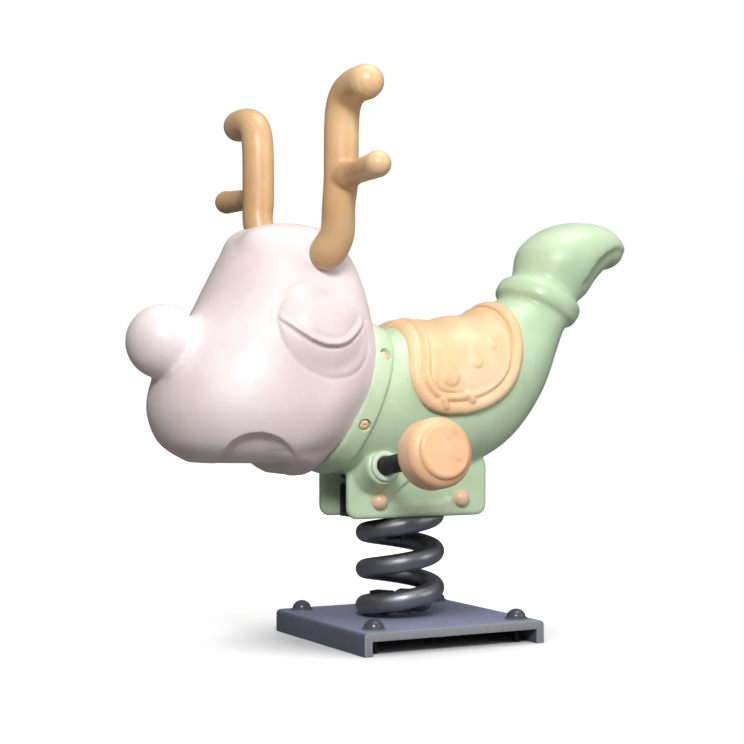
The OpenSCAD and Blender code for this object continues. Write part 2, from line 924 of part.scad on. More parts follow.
function prong_path(s) =
    let (root = antler_r - 1)
    [
        [shaft_x, s * antler_y, prong_z, root],
        [shaft_x + 1, s * (antler_y + 26), prong_z + 1, root - 4],
        [shaft_x + 1, s * (antler_y + 48), prong_z + 3, root - 7],
        [shaft_x + 3, s * (prong_tip_y - 18), prong_z + 5, root - 6],
        [shaft_x + 4, s * prong_tip_y, prong_z + 6, root - 5]];

module antler(s) {
    color(tan_brown)
        difference() {
            union() {
                loft(round_tube(antler_path(s), 14));
                loft(round_tube(prong_path(s), 12));
            }
            pad_frame(s) {
                translate([0, 0, -root_room])
                    cylinder(r = root_room, h = root_room);
                translate([0, 0, -past])
                    cylinder(r = stud_d / 2 + bolt_clear, h = stud_out + 2 * past);
            }
        }
}

module antler_left() {
    antler(1);
}

module antler_right() {
    antler(-1);
}

stud_in = pad_in + stud_d;

module antler_studs() {
    color(steel)
        for (s = sides)
            pad_frame(s)
                translate([0, 0, -stud_in])
                    cylinder(d = stud_d, h = stud_in + stud_out);
}

module antler_nuts() {
    color(steel)
        for (s = sides)
            pad_frame(s)
                translate([0, 0, -pad_in])
                    mirror([0, 0, 1])
                        hex_nut(stud_d, nut_size * stud_d);
}

// Foot pegs
rod_out = sleeve_l + knob_t * 0.6;

module foot_peg(s) {
    color(steel)
        peg_frame(s)
            translate([0, 0, -peg_in])
                cylinder(d = peg_d, h = peg_in + rod_out);
}

module foot_peg_left() {
    foot_peg(1);
}

module foot_peg_right() {
    foot_peg(-1);
}

module foot_sleeve(s) {
    color(charcoal)
        peg_frame(s)
            difference() {
                cylinder(d = sleeve_d, h = sleeve_l);
                translate([0, 0, -past])
                    cylinder(r = peg_d / 2 + bolt_clear, h = sleeve_l + 2 * past);
            }
}

module foot_sleeve_left() {
    foot_sleeve(1);
}

module foot_sleeve_right() {
    foot_sleeve(-1);
}

knob_round = 15;
knob_face_h = 6;

module knob_half() {
    r = knob_d / 2;
    square([r - knob_round, knob_t]);
    translate([0, knob_round])
        square([r, knob_t - 2 * knob_round]);
    for (z = [knob_round, knob_t - knob_round])
        translate([r - knob_round, z])
            circle(r = knob_round);
    translate([0, knob_t - past])
        square([knob_face_d / 2 - knob_face_h, knob_face_h + past]);
    translate([0, knob_t - past])
        square([knob_face_d / 2, past]);
    translate([knob_face_d / 2 - knob_face_h, knob_t])
        intersection() {
            circle(r = knob_face_h);
            square(knob_face_h);
        }
}

module foot_knob(s) {
    color(peach)
        peg_frame(s)
            translate([0, 0, sleeve_l])
                difference() {
                    rotate_extrude()
                        knob_half();
                    translate([0, 0, -past])
                        cylinder(r = peg_d / 2 + bolt_clear, h = rod_out - sleeve_l + past + gap);
                }
}

module foot_knob_left() {
    foot_knob(1);
}

module foot_knob_right() {
    foot_knob(-1);
}

module peg_nuts() {
    color(steel)
        for (s = sides)
            peg_frame(s)
                translate([0, 0, -boss_in - peg_nut_h])
                    hex_nut(peg_d, peg_nut_h);
}

base_plate();
anchor_bolts();
anchor_washers();
anchor_caps();
lower_clamps();
lower_clamp_bolts();
lower_clamp_nuts();
spring();
top_bracket();
upper_clamps();
upper_clamp_bolts();
upper_clamp_nuts();
mount_bolts();
mount_nuts();
bolt_caps();
body_shell();
saddle();
head_shell();
collar_screws();
antler_left();
antler_right();
antler_studs();
antler_nuts();
foot_peg_left();
foot_peg_right();
foot_sleeve_left();
foot_sleeve_right();
foot_knob_left();
foot_knob_right();
peg_nuts();
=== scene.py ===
# Spring rider: a sleepy deer on one coil spring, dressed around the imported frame.
import json
from math import asin, copysign, cos, degrees, pi, radians, sin, sqrt

import bmesh
import bpy
from mathutils import Matrix, Vector, noise
from mathutils.kdtree import KDTree

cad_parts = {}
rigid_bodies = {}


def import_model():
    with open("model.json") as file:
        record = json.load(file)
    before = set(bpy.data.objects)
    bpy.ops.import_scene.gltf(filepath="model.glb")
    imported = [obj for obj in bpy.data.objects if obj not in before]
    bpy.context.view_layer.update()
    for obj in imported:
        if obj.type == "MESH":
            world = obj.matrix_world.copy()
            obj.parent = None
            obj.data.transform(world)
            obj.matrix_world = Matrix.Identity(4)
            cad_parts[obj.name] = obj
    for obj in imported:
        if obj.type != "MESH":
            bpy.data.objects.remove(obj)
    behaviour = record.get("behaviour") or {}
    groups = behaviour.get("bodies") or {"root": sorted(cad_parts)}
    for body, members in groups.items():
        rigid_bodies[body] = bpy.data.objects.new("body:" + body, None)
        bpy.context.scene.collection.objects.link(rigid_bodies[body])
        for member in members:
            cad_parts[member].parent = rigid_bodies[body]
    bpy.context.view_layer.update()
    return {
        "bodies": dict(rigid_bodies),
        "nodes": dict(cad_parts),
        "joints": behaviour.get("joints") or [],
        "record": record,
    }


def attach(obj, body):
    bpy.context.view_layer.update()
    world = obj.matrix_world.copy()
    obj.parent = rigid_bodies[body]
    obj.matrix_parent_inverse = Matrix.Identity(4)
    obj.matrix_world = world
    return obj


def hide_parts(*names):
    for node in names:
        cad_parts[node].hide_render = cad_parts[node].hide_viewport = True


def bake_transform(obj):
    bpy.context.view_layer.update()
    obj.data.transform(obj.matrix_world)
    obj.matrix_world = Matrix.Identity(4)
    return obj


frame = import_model()
bpy.ops.object.select_all(action="DESELECT")
print("stage: frame loaded,", len(frame["nodes"]), "nodes")

mm = 0.001
sideName = {1: "Left", -1: "Right"}

# Camera that sees the rider as the photograph does; width in picture points
view = {
    "place": (1.2344, 2.2361, 0.3764),
    "ahead": (-0.4650, -0.8853, 0.0104),
    "lens": 81.04,
    "sensor": 36,
    "width": 744,
}


# Handling: picking, baking modifiers, joining
def pickOnly(piece):
    bpy.ops.object.select_all(action="DESELECT")
    piece.select_set(True)
    bpy.context.view_layer.objects.active = piece


# Adds an object by an operator, with nothing else picked
def add(operator, name, **settings):
    bpy.ops.object.select_all(action="DESELECT")
    operator(**settings)
    piece = bpy.context.object
    piece.name = name
    piece.data.name = name
    return piece


def bake(piece, kind, **settings):
    pickOnly(piece)
    step = piece.modifiers.new("step", kind)
    for key, value in settings.items():
        setattr(step, key, value)
    bpy.ops.object.modifier_apply(modifier=step.name)


def settle(piece):
    pickOnly(piece)
    bpy.ops.object.transform_apply(location=True, rotation=True, scale=True)


def joinAll(name, pieces):
    bpy.ops.object.select_all(action="DESELECT")
    for piece in pieces:
        piece.select_set(True)
    bpy.context.view_layer.objects.active = pieces[0]
    bpy.ops.object.join()
    pieces[0].name = name
    pieces[0].data.name = name
    return pieces[0]


# Makes one skin of all that overlaps, and softens it
def fuse(piece, voxel, rounds):
    bake(piece, "REMESH", mode="VOXEL", voxel_size=voxel * mm)
    bake(piece, "SMOOTH", factor=0.5, iterations=rounds)
    pickOnly(piece)
    bpy.ops.object.shade_smooth()


def shade(piece, angle):
    pickOnly(piece)
    bpy.ops.object.shade_smooth_by_angle(angle=radians(angle))
    return piece


def setMode(mode):
    bpy.ops.object.mode_set(mode=mode)


def faceOut():
    setMode("EDIT")
    bpy.ops.mesh.select_all(action="SELECT")
    bpy.ops.mesh.normals_make_consistent(inside=False)
    setMode("OBJECT")


def cutAway(piece, cutter):
    bake(piece, "BOOLEAN", operation="DIFFERENCE", object=cutter, solver="EXACT")
    bpy.data.objects.remove(cutter, do_unlink=True)


# Copies a finished piece to the other side
def otherSide(piece, name):
    pickOnly(piece)
    bpy.ops.object.duplicate()
    twin = bpy.context.object
    twin.name = name
    twin.data.name = name
    twin.scale = (1, -1, 1)
    settle(twin)
    faceOut()
    return twin


# Walks a ring of vertices through rings of points (in mm), and closes both ends
def loft(name, rings):
    piece = add(bpy.ops.mesh.primitive_circle_add, name, vertices=len(rings[0]), fill_type="NOTHING")
    setMode("EDIT")
    cage = bmesh.from_edit_mesh(piece.data)
    seat = cage.verts.layers.int.new("seat")
    for i, vert in enumerate(cage.verts):
        vert[seat] = i
        vert.co = rings[0][i] * mm
    bpy.ops.mesh.select_all(action="SELECT")
    bpy.ops.mesh.edge_face_add()
    for ring in rings[1:]:
        bpy.ops.mesh.extrude_region_move()
        cage = bmesh.from_edit_mesh(piece.data)
        seat = cage.verts.layers.int["seat"]
        for vert in cage.verts:
            if vert.select:
                vert.co = ring[vert[seat]] * mm
    bmesh.update_edit_mesh(piece.data)
    bpy.ops.mesh.select_all(action="DESELECT")
    bpy.ops.mesh.select_non_manifold()
    cage = bmesh.from_edit_mesh(piece.data)
    if any(edge.is_boundary for edge in cage.edges):
        bpy.ops.mesh.edge_face_add()
    faceOut()
    settle(piece)
    return piece


# Catmull-Rom value at place s of a table, counted in rows
def station(table, s):
    last = len(table) - 1
    i = min(int(s), last - 1)
    t = s - i
    p0, p1, p2, p3 = table[max(i - 1, 0)], table[i], table[i + 1], table[min(i + 2, last)]
    return [b + t / 2 * (c - a + t * (2 * a - 5 * b + 4 * c - d + t * (3 * (b - c) + d - a)))
            for a, b, c, d in zip(p0, p1, p2, p3)]


# Places along a table at a number of steps for each row, and the values there
def places(table, steps):
    return [i / steps for i in range(steps * (len(table) - 1) + 1)]


def through(table, steps):
    return [station(table, s) for s in places(table, steps)]


# Angles of a ring's points
def turns(n):
    return [2 * pi * j / n for j in range(n)]


# Place between low and high up to which a test holds, sought by halving
def lastPlace(low, high, rounds, test):
    for _ in range(rounds):
        half = (low + high) / 2
        low, high = (half, high) if test(half) else (low, half)
    return low


def power(v, e):
    return copysign(abs(v) ** (2 / e), v)


def smoothStep(a, b, v):
    t = min(1, max(0, (v - a) / (b - a)))
    return t * t * (3 - 2 * t)


# The lesser of two numbers, with a soft change between them
def softLess(a, b, soft):
    t = min(1, max(0, 0.5 + 0.5 * (b - a) / soft))
    return b + (a - b) * t - soft * t * (1 - t)


# Round bump of one at zero, none from width on
def bump(d, width):
    t = abs(d) / width
    return 0 if t >= 1 else (1 - t * t) ** 2


# Ridge beside an outline, from its height, way from the outline and half width
def ridge(d, shape):
    height, at, width = shape
    return height * bump(d - at, width)


def treeOf(points):
    tree = KDTree(len(points))
    for i, point in enumerate(points):
        tree.insert(point, i)
    tree.balance()
    return tree


# Smooth outline through knots
class Curve:
    def __init__(self, knots, steps=12):
        self.points = [Vector((*knot, 0)) for knot in through(knots, steps)]
        self.tree = treeOf(self.points)

    def gap(self, point):
        return self.tree.find(point)[2]


def inside(point, outline):
    odd = False
    for a, b in zip(outline, outline[1:] + outline[:1]):
        if (a.y > point.y) != (b.y > point.y) and point.x < (b.x - a.x) * (point.y - a.y) / (b.y - a.y) + a.x:
            odd = not odd
    return odd


# Rings of a round tube along a path of (x, y, z, r), with a round nose at each end, cut at the given angles
def tubeRings(path, n, nose=(25, 50, 72, 86), roundStart=True):
    points = [Vector(p[:3]) for p in path]
    last, rings = len(points) - 1, []
    for i, place in enumerate(points):
        way = (points[min(i + 1, last)] - points[max(i - 1, 0)]).normalized()
        if i == 0:
            side = way.orthogonal().normalized()
        side = (side - way * side.dot(way)).normalized()
        up = way.cross(side).normalized()
        before = [-a for a in reversed(nose)] if i == 0 and roundStart else []
        after = nose if i == last else []
        for a in (*before, 0, *after):
            c = place + way * path[i][3] * sin(radians(a))
            r = path[i][3] * cos(radians(a))
            rings.append([c + r * (side * cos(t) + up * sin(t)) for t in turns(n)])
    return rings


# Turned piece: a half outline of (radius, height) spun round +Z, then set by a matrix in mm
def turned(name, outline, place, steps=64):
    ways = [(cos(t), sin(t)) for t in turns(steps)]
    return loft(name, [[place @ Vector((r * x, r * y, h)) for x, y in ways] for r, h in outline])


# Frame with its z along a given way
def frameAt(place, way):
    return Matrix.Translation(Vector(place)) @ Vector(way).to_track_quat("Z", "Y").to_matrix().to_4x4()


# Frame on one side, whose z runs outward and up by a slope
def sideFrame(place, slope, side):
    x, y, z = place
    return frameAt((x, side * y, z), (0, side * cos(radians(slope)), sin(radians(slope))))


# Points of an arc round (x, z)
def arc(x, z, r, angles):
    return [(x + r * cos(radians(a)), z + r * sin(radians(a))) for a in angles]


def triangles(piece):
    return sum(len(polygon.vertices) - 2 for polygon in piece.data.polygons)


def paint(mesh, finish):
    mesh.materials.clear()
    mesh.materials.append(finish)


def dress(piece, finish, body, slot, *nodes):
    paint(piece.data, finish)
    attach(piece, body)
    if nodes:
        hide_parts(*nodes)


# Finishes
def srgb(code):
    parts = [int(code[i:i + 2], 16) / 255 for i in (0, 2, 4)]
    return tuple(c / 12.92 if c <= 0.04045 else ((c + 0.055) / 1.055) ** 2.4 for c in parts) + (1,)


class Tree:
    def __init__(self, name, owner=None, shader="Principled BSDF", coords="Object"):
        self.material = owner or bpy.data.materials.new(name)
        self.material.use_nodes = True
        self.nodes = self.material.node_tree.nodes
        self.links = self.material.node_tree.links
        self.shader = self.nodes[shader]
        self.coords = self.nodes.new("ShaderNodeTexCoord").outputs[coords]

    # Sets a node's inputs, or links those whose value is another node's socket
    def join(self, node, values):
        for socket, value in values.items():
            if isinstance(value, bpy.types.NodeSocket):
                self.links.new(value, node.inputs[socket])
            else:
                node.inputs[socket].default_value = value
        return node

    def node(self, kind, values):
        return self.join(self.nodes.new("ShaderNode" + kind), values)

    def feed(self, value, socket):
        self.join(self.shader, {socket: value})

    def noise(self, scale, detail=3, roughness=0.55):
        values = {"Scale": scale, "Detail": detail, "Roughness": roughness, "Vector": self.coords}
        return self.node("TexNoise", values).outputs["Fac"]

    def ramp(self, value, stops):
        node = self.node("ValToRGB", {"Fac": value})
        elements = node.color_ramp.elements
        elements[0].position, elements[0].color = stops[0]
        elements[1].position, elements[1].color = stops[-1]
        for place, colour in stops[1:-1]:
            elements.new(place).color = colour
        return node.outputs["Color"]

    def mix(self, share, first, second):
        node = self.nodes.new("ShaderNodeMix")
        node.data_type = "RGBA"
        return self.join(node, {"Factor": share, 6: first, 7: second}).outputs[2]

    def spread(self, value, *limits):
        values = dict(zip(("From Min", "From Max", "To Min", "To Max"), limits))
        return self.node("MapRange", {"Value": value, **values}).outputs["Result"]

    def bumps(self, *heights):
        values = {}
        for height, strength, distance in heights:
            values.update({"Height": height, "Strength": strength, "Distance": distance * mm})
            values["Normal"] = self.node("Bump", values).outputs["Normal"]
        self.feed(values["Normal"], "Normal")

    def parts(self, value):
        return self.node("SeparateXYZ", {"Vector": value}).outputs

    def measure(self, kind, operation, value):
        node = self.nodes.new("ShaderNode" + kind)
        node.operation = operation
        return self.join(node, {0: value}).outputs["Value"]

    def pointiness(self):
        return self.nodes.new("ShaderNodeNewGeometry").outputs["Pointiness"]

    # One shader for the camera, another for what lights the rider
    def split(self, shown, hidden, output):
        seen = self.nodes.new("ShaderNodeLightPath").outputs["Is Camera Ray"]
        both = self.node("MixShader", {0: seen, 1: hidden.outputs[0], 2: shown.outputs[0]})
        self.join(self.nodes[output], {"Surface": both.outputs[0]})


# Moulded plastic: cloudy colour, faint speckle, orange peel and rubbed edges
def mouldedPlastic(name, plain, deep, pale, rough, peel=0.1):
    tree = Tree(name)
    clouds = tree.noise(5.5, 4, 0.6)
    speckle = tree.noise(320, 2, 0.7)
    colour = tree.ramp(clouds, [(0.32, srgb(deep)), (0.5, srgb(plain)), (0.7, srgb(pale))])
    rub = tree.spread(tree.pointiness(), 0.53, 0.6, 0, 0.5)
    colour = tree.mix(rub, colour, srgb(pale))
    fleck = tree.spread(speckle, 0.62, 0.78, 0, 0.22)
    colour = tree.mix(fleck, colour, srgb(deep))
    tree.feed(colour, "Base Color")
    tree.feed(tree.spread(tree.noise(26, 3), 0.3, 0.75, rough - 0.07, rough + 0.09), "Roughness")
    tree.bumps((tree.noise(420, 2), peel, 0.35), (tree.noise(38, 2), 0.06, 1.2))
    tree.feed(0.42, "Specular IOR Level")
    return tree.material


# Powder coat: fine stipple, worn paler at the edges, some dust
def powderCoat(name, plain, deep, worn, rough, stipple=0.25):
    tree = Tree(name)
    colour = tree.ramp(tree.noise(9, 5, 0.65), [(0.3, srgb(deep)), (0.68, srgb(plain))])
    scuff = tree.spread(tree.noise(70, 4, 0.7), 0.6, 0.8, 0, 0.3)
    colour = tree.mix(scuff, colour, srgb(worn))
    rub = tree.spread(tree.pointiness(), 0.535, 0.62, 0, 0.75)
    colour = tree.mix(rub, colour, srgb(worn))
    tree.feed(colour, "Base Color")
    tree.feed(tree.spread(tree.noise(60, 3), 0.3, 0.75, rough - 0.08, rough + 0.12), "Roughness")
    tree.bumps((tree.noise(650, 2), stipple, 0.3), (tree.noise(45, 2), 0.08, 0.8))
    return tree.material


# Zinc plate: bright steel with cloudy passivation
def zincPlate(name):
    tree = Tree(name)
    tree.feed(tree.ramp(tree.noise(60, 4), [(0.3, srgb("8F949A")), (0.7, srgb("B9BDC2"))]), "Base Color")
    tree.feed(tree.spread(tree.noise(180, 3), 0.3, 0.7, 0.28, 0.48), "Roughness")
    tree.bumps((tree.noise(500, 2), 0.12, 0.2),)
    tree.feed(0.9, "Metallic")
    return tree.material


# Grip rubber: black with grey flecks
def gripRubber(name):
    tree = Tree(name)
    fleck = tree.spread(tree.noise(520, 2, 0.7), 0.6, 0.72, 0, 0.6)
    colour = tree.ramp(tree.noise(30, 3), [(0.3, srgb("141416")), (0.7, srgb("232326"))])
    tree.feed(tree.mix(fleck, colour, srgb("77777C")), "Base Color")
    tree.feed(tree.spread(tree.noise(90, 3), 0.3, 0.7, 0.55, 0.8), "Roughness")
    tree.bumps((tree.noise(500, 2), 0.5, 0.6),)
    return tree.material


# Steel channel: powder coat, paler and bluer on its level top as painted light from above, bare grey steel on
# the sawn ends
def channelPaint(name):
    tree = Tree(name, powderCoat(name, "666879", "555764", "8A8A94", 0.42))
    colour = tree.shader.inputs["Base Color"].links[0].from_socket
    facing = tree.parts(tree.nodes.new("ShaderNodeTexCoord").outputs["Normal"])
    # painted light: faces that look up are mixed towards a pale blue-grey
    litTopColour = tree.ramp(tree.noise(14, 5, 0.65), [(0.3, srgb("8A8DAC")), (0.7, srgb("999CB8"))])
    colour = tree.mix(tree.spread(facing["Z"], 0.6, 0.95, 0, 0.8), colour, litTopColour)
    away = tree.measure("Math", "ABSOLUTE", tree.parts(tree.coords)["Y"])
    sawn = tree.spread(away, 0.1487, 0.1496, 0, 0.85)
    grey = tree.ramp(tree.noise(160), [(0.0, srgb("7B7B80")), (1.0, srgb("ABABAE"))])
    tree.feed(tree.mix(sawn, colour, grey), "Base Color")
    return tree.material


# Antlers: browner towards the root, as painted shade where they meet the head
def antlerShade(material):
    tree = Tree("antlerPlastic", material)
    colour = tree.shader.inputs["Base Color"].links[0].from_socket
    # painted shade: below 0.74 m the colour is mixed towards a darker brown
    low = tree.spread(tree.parts(tree.coords)["Z"], 0.56, 0.74, 0.55, 0)
    tree.feed(tree.mix(low, colour, srgb("B98A5C")), "Base Color")
    return tree.material


greenPlastic = mouldedPlastic("greenPlastic", "C2D8B5", "B3CAA8", "D1E5C7", 0.36)
# paler copy of the green plastic: painted light on the bosses' rims
litRimPlastic = mouldedPlastic("litRimPlastic", "D6E5D0", "C4D8BD", "E6F0E2", 0.42)
seatPlastic = mouldedPlastic("seatPlastic", "EFCAA0", "E6BA8A", "F5DBBA", 0.4)
knobPlastic = mouldedPlastic("knobPlastic", "EAB688", "DFA573", "F2C9A2", 0.38)
headPlastic = mouldedPlastic("headPlastic", "E4D5D5", "DAC9C7", "EDE2E3", 0.42)
antlerPlastic = antlerShade(mouldedPlastic("antlerPlastic", "DDB587", "CFA272", "EACBA0", 0.36))
capPlastic = mouldedPlastic("capPlastic", "EEC8A6", "E3B48C", "F6DCC4", 0.2, 0.03)
basePaint = channelPaint("basePaint")
springPaint = powderCoat("springPaint", "98989E", "85858B", "B4B4BA", 0.43, 0.05)
springPaint.node_tree.nodes["Principled BSDF"].inputs["Metallic"].default_value = 0.95
# Near-black paint: on the bracket, clamps and anchor bolts it stands in for the shade of the gaps they sit in
darkPaint = powderCoat("darkPaint", "26262A", "1B1B1E", "3C3C42", 0.5, 0.12)
capPaint = powderCoat("capPaint", "4C4D57", "3F404A", "777882", 0.24, 0.06)
zinc = zincPlate("zinc")
rubber = gripRubber("rubber")
print("stage: finishes made")


# Body: one moulding with collar, cheek plates, bosses, tail ring and tail
body = {
    # sections from the collar to the tail's tip: x, z, lean, half height, half width
    "stations": [
        [129, 368, 22, 118, 109], [125.3, 366.5, 22, 122, 113], [101.2, 356.8, 22, 122, 113],
        [97.5, 355.3, 22, 116, 107], [34, 361, 12, 117, 109], [-45, 362, 0, 114, 110],
        [-110, 384, -22, 106, 103], [-162, 424, -42, 85, 90], [-202, 471, -55, 64, 73],
        [-225, 496, -61, 55, 62], [-231.6, 506.4, -62, 64, 70], [-242.6, 523.4, -62, 64, 70],
        [-250, 536, -62, 53, 60], [-269, 567, -52, 64, 70], [-302, 592, -30, 55, 73],
        [-345, 604, -8, 38, 64], [-374, 596, 8, 24, 46], [-386, 592, 12, 8, 18]],
    "squareness": 2.15,
    "ringPoints": 72,
    "fine": 6,
    "scoopFirst": 12.5,
    "scoopFull": 13.2,
    "scoopDepth": 0.3,
    "scoopAngle": 70,
    "scoopSpread": 10,
    "voxel": 2.6,
    "softRounds": 3,
    "cheekX": (-112, 126),
    "cheekZ": (185, 277),
    "cheekY": (38, 52),
    "cheekCorner": 17,
    "cheekEdge": 6.5,
    # sunk panel between the caps: outline in x and z
    "panel": [(45, 227), (17, 246), (-14, 250), (-46, 243), (-50, 224),
              (-43, 208), (5, 205), (53, 206), (58, 215), (45, 227)],
    "panelFrom": 44,
    "panelDepth": 5.4,
    "panelWall": 4.5,
    # the collar is shallower under the throat: depth, spread in degrees, stations
    "tuck": 8,
    "tuckSpread": 55,
    "tuckRun": (2.6, 4),
    "bossDiameter": 50,
    # way out from the boss's radius, and height along the peg
    "bossFlare": [(16, -48), (12.5, -38), (8.5, -28), (5, -18), (3, -8), (2.4, -1), (1.2, 1.6), (-1, 2.6)],
    "bossEnd": (6, 2.6),
    "rimInset": 3,
    "rimOutside": [(-3, -1), (-0.6, 0), (0, 1.5), (0, 6.2), (-0.6, 7.8), (-1.8, 8.8), (-3.4, 9.1)],
    "rimInside": [(16.8, 9.1), (15.2, 8.6), (14.4, 7.2), (14.2, 5)],
    "pegAt": (85, 84, 264),
    "pegSlope": 9,
    "collarAt": (129, 0, 368),
    "collarLean": 22,
    "collarWidth": 34,
    "collarRadius": 113,
    # angle round the collar, and the band's surface there over its half width
    "screws": [(53, 5.0), (110, 1.3), (-53, 5.0), (-110, 1.3)],
    "screwRecess": (9.5, 6),
}


def bodyPoint(row, grow, angle):
    lean = radians(row[2])
    up = (row[3] + grow) * power(cos(angle), body["squareness"])
    side = (row[4] + grow) * power(sin(angle), body["squareness"])
    return Vector((row[0] - up * sin(lean), side, row[1] + up * cos(lean)))


# Hollow of the tail's flanks, as a share of the section's half height
def scoop(s, angle):
    along = min(1, max(0, (s - body["scoopFirst"]) / (body["scoopFull"] - body["scoopFirst"])))
    half = body["scoopAngle"] + body["scoopSpread"] * max(0, s - body["scoopFull"])
    across = min(1, abs(degrees(angle) - 180) / half)
    return body["scoopDepth"] * along * across ** 1.5 * (1 - across ** 10)


def bodyRing(s, n):
    row = station(body["stations"], s)
    tuck = body["tuck"] * (1 - smoothStep(*body["tuckRun"], s))
    ring = []
    for a in turns(n):
        sunk = scoop(s, a) * row[3] + tuck * bump(degrees(a) - 180, body["tuckSpread"])
        ring.append(bodyPoint(row, -sunk, a))
    return ring


def pegFrame(side):
    return sideFrame(body["pegAt"], body["pegSlope"], side)


# Frame of a collar screw: z runs outward from the band's surface
def screwFrame(angle, lift):
    lean, turn = radians(body["collarLean"]), radians(angle)
    out = Vector((cos(lean), 0, sin(lean)))
    way = Vector((-cos(turn) * sin(lean), sin(turn), cos(turn) * cos(lean)))
    middle = Vector(body["collarAt"]) - out * body["collarWidth"] / 2
    return frameAt(middle + way * (body["collarRadius"] + lift), way)


def makeCheek(side):
    spans = (body["cheekX"], body["cheekY"], body["cheekZ"])
    middle = [(low + high) / 2 * mm for low, high in spans]
    middle[1] *= side
    cheek = add(bpy.ops.mesh.primitive_cube_add, "cheek", size=1, location=middle)
    cheek.scale = [(high - low) * mm for low, high in spans]
    settle(cheek)
    setMode("EDIT")
    cage = bmesh.from_edit_mesh(cheek.data)
    for edge in cage.edges:                       # the four corners, seen from the side
        run = edge.verts[0].co - edge.verts[1].co
        edge.select_set(abs(run.y) > abs(run.x) + abs(run.z))
    bpy.ops.mesh.bevel(offset=body["cheekCorner"] * mm, segments=10)
    setMode("OBJECT")
    bake(cheek, "BEVEL", width=body["cheekEdge"] * mm, segments=6, limit_method="ANGLE", angle_limit=1.0)
    return cheek


def sinkPanel(moulding):
    panel = Curve(body["panel"])
    low, high = body["cheekZ"]
    for vert in moulding.data.vertices:
        p = vert.co / mm
        if abs(p.y) > body["panelFrom"] and low < p.z < high:
            point = Vector((p.x, p.z, 0))
            wayIn = panel.gap(point) if inside(point, panel.points) else 0
            vert.co.y -= copysign(body["panelDepth"] * smoothStep(0, body["panelWall"], wayIn) * mm, p.y)


def makeBody():
    stations = places(body["stations"], body["fine"])
    pieces = [loft("bodyMoulding", [bodyRing(s, body["ringPoints"]) for s in stations])]
    boss = [(body["bossDiameter"] / 2 + out, h) for out, h in body["bossFlare"]] + [body["bossEnd"]]
    for side in (1, -1):
        pieces.append(makeCheek(side))
        pieces.append(turned("boss", boss, pegFrame(side)))
    moulding = joinAll("bodyMoulding", pieces)
    fuse(moulding, body["voxel"], body["softRounds"])
    sinkPanel(moulding)
    wide, deep = body["screwRecess"]
    recess = [(wide - 1, -deep), (wide, 0), (wide + 6, 20)]
    cutters = [turned("recess", recess, screwFrame(*screw), 40) for screw in body["screws"]]
    cutAway(moulding, joinAll("recess", cutters))
    return shade(moulding, 50)


# Rim of a peg's boss: a ring round the sleeve, in a paler green that paints the light it catches
def makeBossRim(side):
    r = body["bossDiameter"] / 2 - body["rimInset"]
    outline = [(r + out, h) for out, h in body["rimOutside"]] + body["rimInside"]
    piece = turned("bossRim" + sideName[side], outline, pegFrame(side), 96)
    return shade(piece, 55)


bodyMoulding = makeBody()
dress(bodyMoulding, greenPlastic, "rider", "green_plastic", "body_shell")
for side in (1, -1):
    dress(makeBossRim(side), litRimPlastic, "rider", "green_plastic", "body_shell")
print("stage: body moulded,", triangles(bodyMoulding), "triangles")


# Head: level stations from the jaw to the crown, with nose, eyes, lids, mouth and antler pads
head = {
    # from the jaw up: z, the middle's x, and shares of the half length and the half width
    "levels": [
        [258, 236, 0.30, 0.28], [263, 237, 0.52, 0.48], [277, 239, 0.74, 0.70], [302, 243, 0.92, 0.89],
        [345, 245, 1.00, 1.00], [390, 240, 0.985, 1.00], [435, 230, 0.90, 0.95], [480, 218, 0.785, 0.87],
        [530, 211, 0.67, 0.77], [576, 209, 0.53, 0.64], [606, 209, 0.36, 0.46], [618, 210, 0.14, 0.19]],
    "halfLength": 165,
    "halfWidth": 139,
    "frontSquare": 2.1,
    "rearSquare": 2.9,
    "ringPoints": 96,
    "fine": 8,
    "voxel": 3.25,
    "softRounds": 2,
    "noseAt": (394, 0, 444),
    "noseRadius": 53,
    "noseWay": (0.854, 0, 0.52),
    # roll where the nose leaves the head: radius, way out, steps, search, and where it runs out below
    "noseLip": 5.8,
    "noseLipOut": 6,
    "noseLipSteps": 72,
    "noseLipSearch": (0.4, 2.8, 24),
    "noseLipEnds": (-0.98, -0.7),
    "eyeAt": (208, 33, 440),
    "eyeRadius": 110,
    "mouthFloor": 272,
    "mouthFloorX": 232,
    "mouthSlope": 0.6,
    "jawCut": (200, 320, 60),
    # room for the head in front of the collar: half width, how fast it widens, how softly it takes hold
    "neckRoom": (112, 1.0, 30),
    "drawRun": (-40, 60),
    "underRun": (0.7, 0.96),
    "throatRoom": 1.8,
    "throatAt": (188, 0, 258),
    "throatDrop": (8, 0, 95),
    # neck that plugs into the collar: way out from its radius, and height
    "neckInset": 5,
    "neckSteps": [(-8, -20), (-8, 1), (0, 1.5), (0, 60)],
    "padAt": (188, 99, 570),
    "padRise": 14,
    "padOutline": [(43, -38), (36, -24), (30, -13), (25.5, -5), (23, -1.5), (21, 0), (6, 0)],
}

